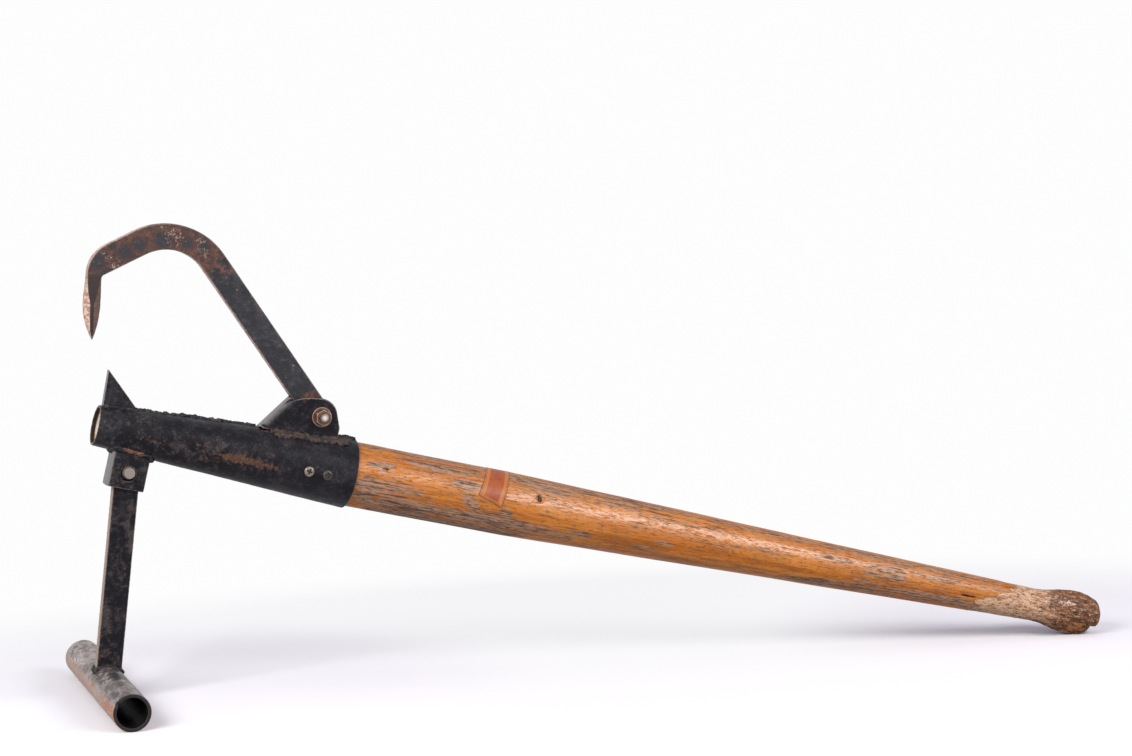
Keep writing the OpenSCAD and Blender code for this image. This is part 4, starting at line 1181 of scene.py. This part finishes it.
class CANTHOOK_OT_welds(PieceOperator, bpy.types.Operator):
    """Hand-run weld beads on the socket's seam, the spike, the brackets and the stand's foot"""

    bl_idname = "canthook.welds"
    bl_label = "Welds"

    # Beads on the socket's top: piece, node, finish, slot, runs and shape, in millimetres.
    # A run has its start and end from the toe, its place across, its wandering and a seed;
    # a shape has the bead's radius, the height and size of its lumps and a seed.
    beads = (
        ("seam_bead", "seam_weld", rough_weld, "black_paint",
         ((39, 157, 0, 0.7, 41), (240, 258.5, -3, 1.2, 39), (240, 258.5, 0, 1.2, 42), (240, 258.5, 3, 1.2, 45)),
         (2.0, 1.7, 6, 1.7)),
        ("spike_beads", "toe_spike_weld", rough_weld, "black_paint",
         ((4.5, 37, -4.2, 0.5, 43), (4.5, 37, 4.2, 0.5, 43)), (2.2, 1.2, 6, 4.1)),
        ("near_cheek_bead", "hook_bracket_weld_near", rusty_weld, "rusty_steel",
         ((169, 251, -13.4, 0.9, 44), (173, 250, -16.4, 1.3, 46)), (3.2, 2.4, 4.5, 6.3)),
        ("far_cheek_bead", "hook_bracket_weld_far", rusty_weld, "rusty_steel",
         ((166, 246, 13.3, 0.8, 45),), (3.4, 1.6, 6, 8.9)))

    def build(self, sizes, colours):
        for name, node, kind, slot, runs, shape in self.beads:
            metal = finish(kind, colours)
            paths = []
            for start, stop, y, reach, seed in runs:
                line = on_socket(sizes, np.linspace(start, stop, 40) * MM, y * MM, lift=-0.2 * MM)
                paths.append(wander(line, reach, seed))
            dress(weld(name, paths, metal, *shape), metal, "tool", slot, node)
        dark = finish(rough_weld, colours)
        x, y = self.rounded_loop(sizes.tube_width + 1.2 * MM, sizes.tube_depth + 1.2 * MM, 5 * MM)
        tube = on_socket(sizes, sizes.tube_s + x, y, side=-1)
        ring = weld("stand_bracket_bead", [tube], dark, 2.5, 1.5, seed=3.3)
        along, sideways, _ = tool_own(sizes, mesh_points(ring.data)).T
        set_attributes(ring.data, rust=np.exp(-((along - sizes.tube_s) / (11 * MM)) ** 2) * (sideways < 0))
        dress(ring, dark, "tool", "black_paint", "stand_bracket_weld")
        x, y = self.rounded_loop(sizes.stem_width + 0.8 * MM, sizes.stem_thickness + 0.8 * MM, 2.5 * MM)
        rise = np.sqrt(sizes.foot_radius**2 - x**2) - sizes.stem_length
        foot = weld("stem_bead", [stand_points(sizes, x, y, rise)], dark, 2.5, 1.3, seed=5.2)
        dress(foot, dark, "stand", "black_paint", "stem_weld")

    def rounded_loop(self, width, depth, radius):
        """A closed rectangle with round corners, in the plane, at even steps."""
        points = []
        for a, b, start in ((1, 1, 0), (-1, 1, 90), (-1, -1, 180), (1, -1, 270)):
            turn = np.radians(np.linspace(start, start + 90, 9))
            middle = np.array([a * (width / 2 - radius), b * (depth / 2 - radius)])
            points.append(middle + radius * np.stack([np.cos(turn), np.sin(turn)], axis=1))
        loop = np.vstack([*points, points[0][:1]])
        run = np.concatenate([[0], np.cumsum(np.linalg.norm(np.diff(loop, axis=0), axis=1))])
        even = np.linspace(0, run[-1], 120)
        return [np.interp(even, run, loop[:, k]) for k in range(2)]


class CANTHOOK_OT_plates(PieceOperator, bpy.types.Operator):
    """Toe spike, hook bracket and stand bracket, cut from plate and tube"""

    bl_idname = "canthook.plates"
    bl_label = "Spike and brackets"

    # How far the near cheek's front corner stands off the socket
    corner_lift = 1.7 * MM
    # Piece, node, grid, passes of rounding, seed, rust, cleanness, and paint rubbed off with painted sheen on
    # faces turned to the left, most and least
    plates = (("toe_spike_plate", "toe_spike", 0.5, 3, 51, 0.0, 1.8, 0.8, 0.17),
              ("hook_bracket_plate", "hook_bracket", 0.6, 4, 53, 0.03, 1.0, 1.0, 0.0),
              ("stand_bracket_tube", "stand_bracket", 0.6, 4, 55, 0.16, 0.0, 1.0, 0.0))

    def build(self, sizes, colours):
        paint = finish(worn_black_paint, colours)
        for name, node, grid, rounding, seed, rusty, clean, rubbed, least in self.plates:
            plate = worn_copy(name, node, grid * MM, rounding, seed=seed)
            if node == "hook_bracket":
                self.open_corner(sizes, plate.data)
            points, normals = mesh_points(plate.data), mesh_normals(plate.data)
            set_attributes(
                plate.data, clean=np.full(len(points), clean),
                rust=rusty * step(rough_lumps(points, 13 * MM, seed + 1), 0.1, 0.6),
                # Painted sheen: faces turned to the left are coloured rubbed grey, as if lit from that side
                rubbed=np.maximum(rubbed * step(-normals[:, 0], 0.15, 0.85), least))
            dress(plate, paint, "tool", "black_paint", node)

    def open_corner(self, sizes, mesh):
        """Lifts the near cheek's front corner off the socket, where the weld does not reach."""
        s, y, h = tool_own(sizes, mesh_points(mesh)).T
        low = step(np.hypot(y, h) - socket_radius(sizes, s), 5 * MM, 1 * MM)
        lift = self.corner_lift * low * step(s, 184 * MM, 168 * MM) * step(-y, 3 * MM, 9 * MM)
        set_points(mesh, tool_points(sizes, s, y, h + lift))


class CANTHOOK_OT_screws(PieceOperator, bpy.types.Operator):
    """Two domed cross-slot screws through the socket into the wood"""

    bl_idname = "canthook.screws"
    bl_label = "Screws"

    around = 72
    slot_depth = 1.7 * MM
    # Height above the underside of the head and radius, in millimetres on the shank
    shank = ((-26, 0.3), (-25, 2.1), (-4, 2.1), (-0.6, 2.1))
    # and in shares of the head's radius on the head
    head = ((-0.6, 0.97), (0.2, 1.0), (0.9, 0.95), (1.5, 0.83),
            (1.95, 0.62), (2.2, 0.42), (2.34, 0.2), (2.4, 0.02))

    def build(self, sizes, colours):
        screw = self.screw(sizes)
        s = np.array([sizes.screw_s - sizes.screw_pitch, sizes.screw_s])
        skin = np.sqrt(socket_radius(sizes, s) ** 2 - sizes.screw_drop**2)
        mesh = bpy.data.meshes.new("screws")
        mesh.from_pydata(tool_points(sizes, s, -skin, -sizes.screw_drop).tolist(), [], [])
        turn = mesh.attributes.new("turn", "FLOAT_VECTOR", "POINT")
        turn.data.foreach_set("vector", np.array([math.pi / 2, 0.5, 0.0, math.pi / 2, 0.1, 0.0], np.float32))
        set_attributes(mesh, rusty=[0.43, 1.0], painted=[0.0, 0.62])
        metal = finish(bright_steel, colours)
        screws = grow(add_object("screws", mesh), screws_on_points, {"Screw": screw, "Material": metal})
        bpy.data.objects.remove(screw)
        dress(screws, metal, "tool", "bare_steel", "handle_screws")

    def screw(self, sizes):
        """One screw with its axis on z and the underside of its head at 0."""
        outline = np.array(self.shank + self.head) * MM
        outline[len(self.shank):, 1] *= sizes.screw_head / 2 / MM
        even = np.linspace(0, len(outline) - 1, 60)
        z, radius, turn = ring_grid(*(np.interp(even, range(len(outline)), v) for v in outline.T), self.around)
        x, y = radius * np.cos(turn), radius * np.sin(turn)
        cross = np.maximum(*(step(np.abs(a), 1.1 * MM, 0.7 * MM) * step(np.abs(b), 3.0 * MM, 2.5 * MM)
                             for a, b in ((x, y), (y, x))))
        z = z - np.where(z > 0.5 * MM, cross, 0) * self.slot_depth
        mesh = rings_mesh("screw", np.stack([x, y, z], axis=1).reshape(-1, self.around, 3))
        set_attributes(mesh, recess=np.append(np.where(z > 0, cross, 0), [0, 1]))
        return add_object("screw", mesh)


class CANTHOOK_OT_label(PieceOperator, bpy.types.Operator):
    """Paper label wrapped on the handle, with no words on it"""

    bl_idname = "canthook.label"
    bl_label = "Label"

    def build(self, sizes, colours):
        long, wide = 60, 34
        u, v = (g.ravel() for g in np.meshgrid(np.linspace(0, 1, wide), np.linspace(0, 1, long), indexing="ij"))
        low = sizes.label_low + sizes.label_skew * (0.5 - u)
        turn = low + (sizes.label_high - low) * v
        frayed = 0.5 * MM * lumps(np.stack([u, v, u], axis=1), 0.13, 61)
        s = sizes.label_start + sizes.label_lean * v + sizes.label_width * u + frayed * (np.abs(u - 0.5) > 0.49)
        curl = 0.7 * MM * step(v, 0.16, 0.0) * step(u, 0.6, 1.0)
        radius = sizes.handle_radius + LABEL_GAP + curl
        mesh = bpy.data.meshes.new("label_paper")
        faces = [(i * long + j, (i + 1) * long + j, (i + 1) * long + j + 1, i * long + j + 1)
                 for i in range(wide - 1) for j in range(long - 1)]
        mesh.from_pydata(round_points(sizes, s, radius, turn).tolist(), [], faces)
        flat = mesh.uv_layers.new(name="label")
        for loop in mesh.loops:
            flat.data[loop.index].uv = (u[loop.vertex_index], v[loop.vertex_index])
        obj = add_object("label_paper", mesh)
        self.face_out(sizes, mesh)
        thick = obj.modifiers.new("paper", "SOLIDIFY")
        thick.thickness = sizes.label_thickness
        thick.offset = 1.0
        apply_modifiers(obj)
        dress(obj, finish(tan_paper, colours), "tool", "label_paper", "label")

    def face_out(self, sizes, mesh):
        """Turns the sheet's faces away from the handle."""
        own = tool_own(sizes, mesh_points(mesh))
        outwards = np.array(mesh.polygons[0].normal) @ np.array(Matrix.Rotation(sizes.tilt, 3, "Y"))
        corner = own[mesh.polygons[0].vertices[0]]
        if outwards[1] * corner[1] + outwards[2] * corner[2] < 0:
            mesh.flip_normals()


class CANTHOOK_OT_pivot(PieceOperator, bpy.types.Operator):
    """Bolt, washer and nut of the hook's pivot"""

    bl_idname = "canthook.pivot"
    bl_label = "Pivot bolt, washer and nut"

    # The painted highlight on the bolt's end, off its middle along x and z
    shine_offset = np.array([0.3, 0.4]) * MM

    def build(self, sizes, colours):
        bolt = worn_copy("pivot_bolt_steel", "pivot_bolt", 0.4 * MM, 2, 0.05 * MM, 71)
        points = mesh_points(bolt.data)
        off_spot = np.linalg.norm(points[:, SIDE] - np.array(sizes.pivot)[SIDE] - self.shine_offset, axis=1)
        behind_end = step(points[:, 1], -22.6 * MM, -21.5 * MM)
        set_attributes(bolt.data, rusty=np.maximum(behind_end, 0.75 * step(off_spot, 3.0 * MM, 4.2 * MM)),
                       shine=step(off_spot, 3.1 * MM, 1.2 * MM))
        dress(bolt, finish(bright_steel, colours), "tool", "bare_steel", "pivot_bolt")
        rusty = finish(brown_steel, colours)
        washer = worn_copy("pivot_washer_steel", "pivot_washer", 0.35 * MM, 2, 0.05 * MM, 72)
        dress(washer, rusty, "tool", "rusty_steel", "pivot_washer")
        nut = worn_copy("pivot_nut_steel", "pivot_nut", 0.35 * MM, 2, 0.06 * MM, 73)
        dress(nut, rusty, "tool", "rusty_steel", "pivot_nut")


class CANTHOOK_OT_hook(PieceOperator, bpy.types.Operator):
    """Forged hook: painted shank, rusty arm and ground point"""

    bl_idname = "canthook.hook"
    bl_label = "Hook"

    elbow_height = 430.8 * MM
    shank_direction = (-0.56137, 0.82757)
    # Place and size of dark scale patches and of pale chips on the arm, in the side view
    patches = ((37, 449, 7), (23, 443, 8), (10, 449, 5), (60, 454, 9),
               (-4, 434, 10), (83, 451, 7), (101, 447, 7), (4, 420, 7))
    chips = ((6, 437, 5), (13, 430, 6), (1, 442, 4), (70, 458, 8),
             (76, 454, 6), (59, 468, 3), (97, 453, 5), (99, 441, 6))

    def build(self, sizes, colours):
        hook = worn_copy("hook_bar", "hook", 0.65 * MM, 3, 0.16 * MM, 81)
        points, normals = mesh_points(hook.data), mesh_normals(hook.data)
        side = points[:, SIDE]
        from_pivot = side - np.array(sizes.pivot)[SIDE]
        run = from_pivot @ np.array(self.shank_direction)
        arm = step(run + 6 * MM * lumps(points, 8 * MM, 82), 160 * MM, 196 * MM)
        eye = step(np.linalg.norm(from_pivot, axis=1), 30 * MM, 26 * MM)
        to_toe, flat = -normals[:, 0], np.abs(normals[:, 1])
        on_point = step(self.elbow_height - points[:, 2], 6 * MM, 14 * MM) * (points[:, 0] < 6 * MM)
        set_attributes(
            hook.data, rust=np.maximum(arm, 0.9 * eye),
            scale=self.spots(side, self.patches), chip=self.spots(side, self.chips),
            # Painted highlight: pale metal on the point's bevel and on the narrow faces turned to the toe, with
            # the grinding and wear there
            soot=on_point * step(flat, 0.9, 0.97), ground=on_point * step(to_toe, 0.25, 0.5),
            bevel=on_point * step(-to_toe, 0.12, 0.3),
            narrow=0.85 * step(flat, 0.75, 0.35) * step(to_toe, 0.12, 0.3) * step(run, 20 * MM, 50 * MM))
        dress(hook, finish(hook_scale, colours), "hook", "worn_paint", "hook")

    def spots(self, side, spots):
        """1 in the middle of round spots, falling off round them."""
        total = np.zeros(len(side))
        for x, z, size in spots:
            gap = np.linalg.norm(side - np.array([x, z]) * MM, axis=1)
            total = np.maximum(total, np.exp(-(gap / (size * MM)) ** 2))
        return total


class CANTHOOK_OT_stand(PieceOperator, bpy.types.Operator):
    """Pinned stand: pin, flat stem and the scuffed tube that it stands on"""

    bl_idname = "canthook.stand"
    bl_label = "Stand"

    around = 120
    # Share of its width that the pin has lost at its near end, and depth of the nick in the foot's near rim
    pin_wear, nick_depth = 0.11, 2.2 * MM
    # Distance from the rim and depth below the skin, round each rim of the foot
    rim = ((0.35, 0.1), (0.1, 0.4), (0.0, 0.9), (0.0, 2.7), (0.1, 3.2), (0.4, 3.5))

    def build(self, sizes, colours):
        self.pin(sizes, colours)
        stem = worn_copy("stand_stem_bar", "stand_stem", 0.65 * MM, 3, seed=92)
        points, normals = mesh_points(stem.data), mesh_normals(stem.data)
        long_lumps = rough_lumps(points, (14 * MM, 14 * MM, 32 * MM), 96)
        set_attributes(
            stem.data, rust=0.16 * step(rough_lumps(points, 16 * MM, 93), 0.0, 0.7),
            # Painted sheen: the stem's narrow face turned to the left gets bare-metal colours, as lit from that
            # side, with its wear
            stained=2.2 * step(long_lumps, -0.2, 0.8) - 0.4, bare=0.95 * step(-normals[:, 0], 0.5, 0.8))
        dress(stem, finish(worn_black_paint, colours), "stand", "black_paint", "stand_stem")
        self.foot(sizes, colours)

    def pin(self, sizes, colours):
        """The pin, a little narrower at its worn near end."""
        pin = worn_copy("stand_pin_steel", "stand_pin", 0.45 * MM, 3, 0.06 * MM, 91)
        points = mesh_points(pin.data)
        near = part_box("stand_pin")[0][1]
        worn = 1 - self.pin_wear * step(points[:, 1], near + 5 * MM, near + 1.5 * MM)
        middle = np.array(sizes.pin)[SIDE]
        points[:, SIDE] = middle + (points[:, SIDE] - middle) * worn[:, None]
        set_points(pin.data, points)
        dress(pin, finish(pin_steel, colours), "pin", "bare_steel", "stand_pin")

    def foot(self, sizes, colours):
        """The open tube; its turn starts on top and grows towards the toe's side."""
        half, wall, radius = sizes.foot_length / 2, sizes.foot_wall, sizes.foot_radius
        outer = np.linspace(-half + 0.8 * MM, half - 0.8 * MM, 190)
        inner = np.linspace(half - 1.2 * MM, -half + 1.2 * MM, 50)
        rim, rim_depth = np.array(self.rim).T * MM
        y, depth, turn = ring_grid(
            np.concatenate([outer, half - rim, inner, -half + rim[::-1]]),
            np.concatenate([np.zeros(len(outer)), rim_depth, np.full(len(inner), wall), rim_depth[::-1]]),
            self.around)
        own = np.stack([-radius * np.sin(turn), y, radius * np.cos(turn)], axis=1)
        skin = np.where(depth < 0.6 * MM, 1.0, 0.0)
        dents = 0.16 * lumps(own, 24 * MM, 94) + 0.08 * rough_lumps(own, 6 * MM, 95) - 0.1
        rests = step(math.pi - np.abs(turn), 0.25, 0.6)
        r = radius - depth + skin * dents * MM * rests
        nick = step(y, -half + 3.2 * MM, -half + 0.6 * MM) * step(np.abs(turn - 0.98), 0.16, 0.06)
        y = y + self.nick_depth * nick
        centre = stand_points(sizes, 0.0, 0.0, -sizes.stem_length)
        points = np.stack([-r * np.sin(turn), y, r * np.cos(turn)], axis=1) + centre
        mesh = rings_mesh("foot_tube_steel", points.reshape(-1, self.around, 3), closed=True)
        down = np.abs(turn)
        near_weld = np.exp(-((y + 46 * MM) / (44 * MM)) ** 2) * step(np.abs(turn + 0.1), 1.3, 0.3)
        band = 0.5 * np.exp(-((down - 0.72) / 0.28) ** 2) * step(y, 60 * MM, -10 * MM)
        far_scuffs = 0.9 * step(y, 20 * MM, 70 * MM) * np.exp(-((down - 0.9) / 0.5) ** 2)
        set_attributes(
            mesh, rust=skin * 0.95 * step(down, 0.75, 1.7),
            orange=skin * step(down, 0.95, 1.45) * step(-y, 20 * MM, 120 * MM),
            soot=skin * np.maximum(0.72 * near_weld, band),
            scuffs=skin * np.maximum(far_scuffs, 0.5 * step(down, 0.8, 1.3)),
            rim=np.where((depth > 0.3 * MM) & (depth < 3.3 * MM), 1.0, 0.0),
            # Painted shade inside the tube
            inside=np.where(depth >= 3.3 * MM, 1.0, 0.0))
        foot = add_object("foot_tube_steel", mesh)
        dress(foot, finish(foot_steel, colours), "stand", "scuffed_steel", "foot_tube")


class CANTHOOK_OT_stage(bpy.types.Operator):
    """Camera, pale floor and soft lights"""

    bl_idname = "canthook.stage"
    bl_label = "Stage"
    bl_options = {"REGISTER", "UNDO"}

    # Name, power, place, aim, width and height of each light
    lights = (("top_light", "top_power", (0.3, -0.2, 2.0), (0.45, 0.0, 0.15), 2.4, 1.4),
              ("front_light", "front_power", (1.55, -1.5, 1.2), (0.5, 0.0, 0.15), 1.7, 0.45),
              ("left_light", "left_power", (-1.35, -1.35, 1.35), (0.4, 0.0, 0.15), 1.3, 0.9))
    floor_around = 96
    # Middle of the shaded floor and of the places where the tool touches it, and the reach of each
    shaded = ((0.62, -0.10, 0.0), (0.85, 0.5, 1.0))
    touched = (((0.12, 0.03, 0.0), (0.25, 0.24, 1.0)), ((1.13, 0.04, 0.0), (0.28, 0.24, 1.0)))

    def execute(self, context):
        stage = context.scene.cant_hook_stage
        context.scene.view_settings.view_transform = "Standard"
        self.camera(context.scene, stage)
        self.floor(stage)
        self.sky(context.scene, stage)
        for name, power, spot, aim, width, height in self.lights:
            self.light(name, getattr(stage, power), Vector(spot), Vector(aim), width, height)
        return {"FINISHED"}

    def camera(self, scene, stage):
        """A level look at the yaw and pitch, rolled about its own line of sight."""
        forward = Vector((math.sin(stage.yaw) * math.cos(stage.pitch),
                          math.cos(stage.yaw) * math.cos(stage.pitch), -math.sin(stage.pitch)))
        right = Vector((math.cos(stage.yaw), -math.sin(stage.yaw), 0.0))
        up = right.cross(forward)
        c, s = math.cos(stage.roll), math.sin(stage.roll)
        right, up = c * right + s * up, c * up - s * right
        data = bpy.data.cameras.new("camera")
        data.lens, data.sensor_width, data.sensor_fit = stage.lens, SENSOR_WIDTH, "HORIZONTAL"
        data.clip_end = 50.0
        camera = add_object("camera", data)
        turn = Matrix((right, up, -forward)).transposed()
        camera.matrix_world = Matrix.Translation(stage.camera) @ turn.to_4x4()
        scene.camera = camera

    def floor(self, stage):
        """A wide disc, shaded where the tool touches it and plain white farther off."""
        around = self.floor_around
        turns = np.linspace(0, 2 * math.pi, around, endpoint=False)
        radii = np.array([0.5, 1.5, 4.0, stage.floor_radius])
        x, y = np.outer(radii, np.cos(turns)), np.outer(radii, np.sin(turns))
        first = np.arange(len(radii) - 1)[:, None] * around
        a, b = first + np.arange(around), first + (np.arange(around) + 1) % around
        faces = np.stack([a, a + around, b + around, b], axis=-1).reshape(-1, 4).tolist() + [list(range(around))]
        mesh = bpy.data.meshes.new("floor")
        mesh.from_pydata(np.stack([x, y, np.zeros_like(x)], axis=-1).reshape(-1, 3).tolist(), [], faces)
        mesh.materials.append(self.pale_floor(stage))
        add_object("floor", mesh)

    def pale_floor(self, stage):
        f = Finish("pale_floor")
        seen = f.seen()
        pale = f.mix(f.noise(500, 2.0), stage.floor_pale, stage.floor_palest)
        matt = f.add("ShaderNodeBsdfDiffuse", {"Color": f.mix(seen, (stage.floor_bounce,) * 3, pale)})
        white = f.add("ShaderNodeEmission", {"Color": stage.white})
        wide = f.step(self.distance(f, *self.shaded), 0.66, stage.fade_radius)
        touching = f.least(*(self.distance(f, *spot) for spot in self.touched))
        part = f.times(seen, f.most(wide, f.step(touching, 0.5, 1.5, 0.0, stage.floor_white)))
        f.add("ShaderNodeOutputMaterial", {"Surface": f.add("ShaderNodeMixShader", {0: part, 1: matt, 2: white})})
        return f.material

    def distance(self, f, middle, reach):
        """Distance from a middle, counted in reaches along the axes."""
        around = f.add("ShaderNodeMapping", {"Vector": f.place, "Location": middle, "Scale": reach},
                       vector_type="TEXTURE")
        return f.add("ShaderNodeVectorMath", {0: around}, output="Value", operation="LENGTH")

    def sky(self, scene, stage):
        """White as seen, and a cooler, weaker light from all round."""
        world = bpy.data.worlds.new("white_room")
        world.use_nodes = True
        nodes = Nodes(world.node_tree)
        back, seen = world.node_tree.nodes["Background"], nodes.seen()
        nodes.feed(back.inputs["Color"], nodes.mix(seen, stage.sky_tint, stage.white))
        nodes.feed(back.inputs["Strength"], nodes.add("ShaderNodeMapRange", {
            "Value": seen, "To Min": stage.sky, "To Max": 1.0}))
        scene.world = world

    def light(self, name, power, spot, aim, width, height):
        data = bpy.data.lights.new(name, "AREA")
        data.shape, data.size, data.size_y, data.energy = "RECTANGLE", width, height, power
        lamp = add_object(name, data)
        lamp.location = spot
        lamp.rotation_euler = (aim - spot).to_track_quat("-Z", "Y").to_euler()


class CANTHOOK_PT_panel(bpy.types.Panel):
    """Lists the pieces and their values"""

    bl_idname = "CANTHOOK_PT_panel"
    bl_label = "Cant hook"
    bl_space_type = "VIEW_3D"
    bl_region_type = "UI"
    bl_category = "Cant hook"

    def draw(self, context):
        for operator in OPERATORS:
            self.layout.operator(operator.bl_idname)
        scene = context.scene
        for group in (scene.cant_hook_sizes, scene.cant_hook_colours, scene.cant_hook_stage):
            box = self.layout.box()
            for key in group.__annotations__:
                box.prop(group, key)


OPERATORS = (CANTHOOK_OT_stage, CANTHOOK_OT_handle, CANTHOOK_OT_socket, CANTHOOK_OT_welds, CANTHOOK_OT_plates,
             CANTHOOK_OT_screws, CANTHOOK_OT_label, CANTHOOK_OT_pivot, CANTHOOK_OT_hook, CANTHOOK_OT_stand)
GROUPS = (CantHookSizes, CantHookColours, CantHookStage)


def register():
    for kind in (*GROUPS, *OPERATORS, CANTHOOK_PT_panel):
        bpy.utils.register_class(kind)
    bpy.types.Scene.cant_hook_sizes = PointerProperty(type=CantHookSizes)
    bpy.types.Scene.cant_hook_colours = PointerProperty(type=CantHookColours)
    bpy.types.Scene.cant_hook_stage = PointerProperty(type=CantHookStage)


def unregister():
    del bpy.types.Scene.cant_hook_stage
    del bpy.types.Scene.cant_hook_colours
    del bpy.types.Scene.cant_hook_sizes
    for kind in reversed((*GROUPS, *OPERATORS, CANTHOOK_PT_panel)):
        bpy.utils.unregister_class(kind)


def main():
    register()
    for operator in OPERATORS:
        group, name = operator.bl_idname.split(".")
        getattr(getattr(bpy.ops, group), name)()


if __name__ == "__main__":
    main()
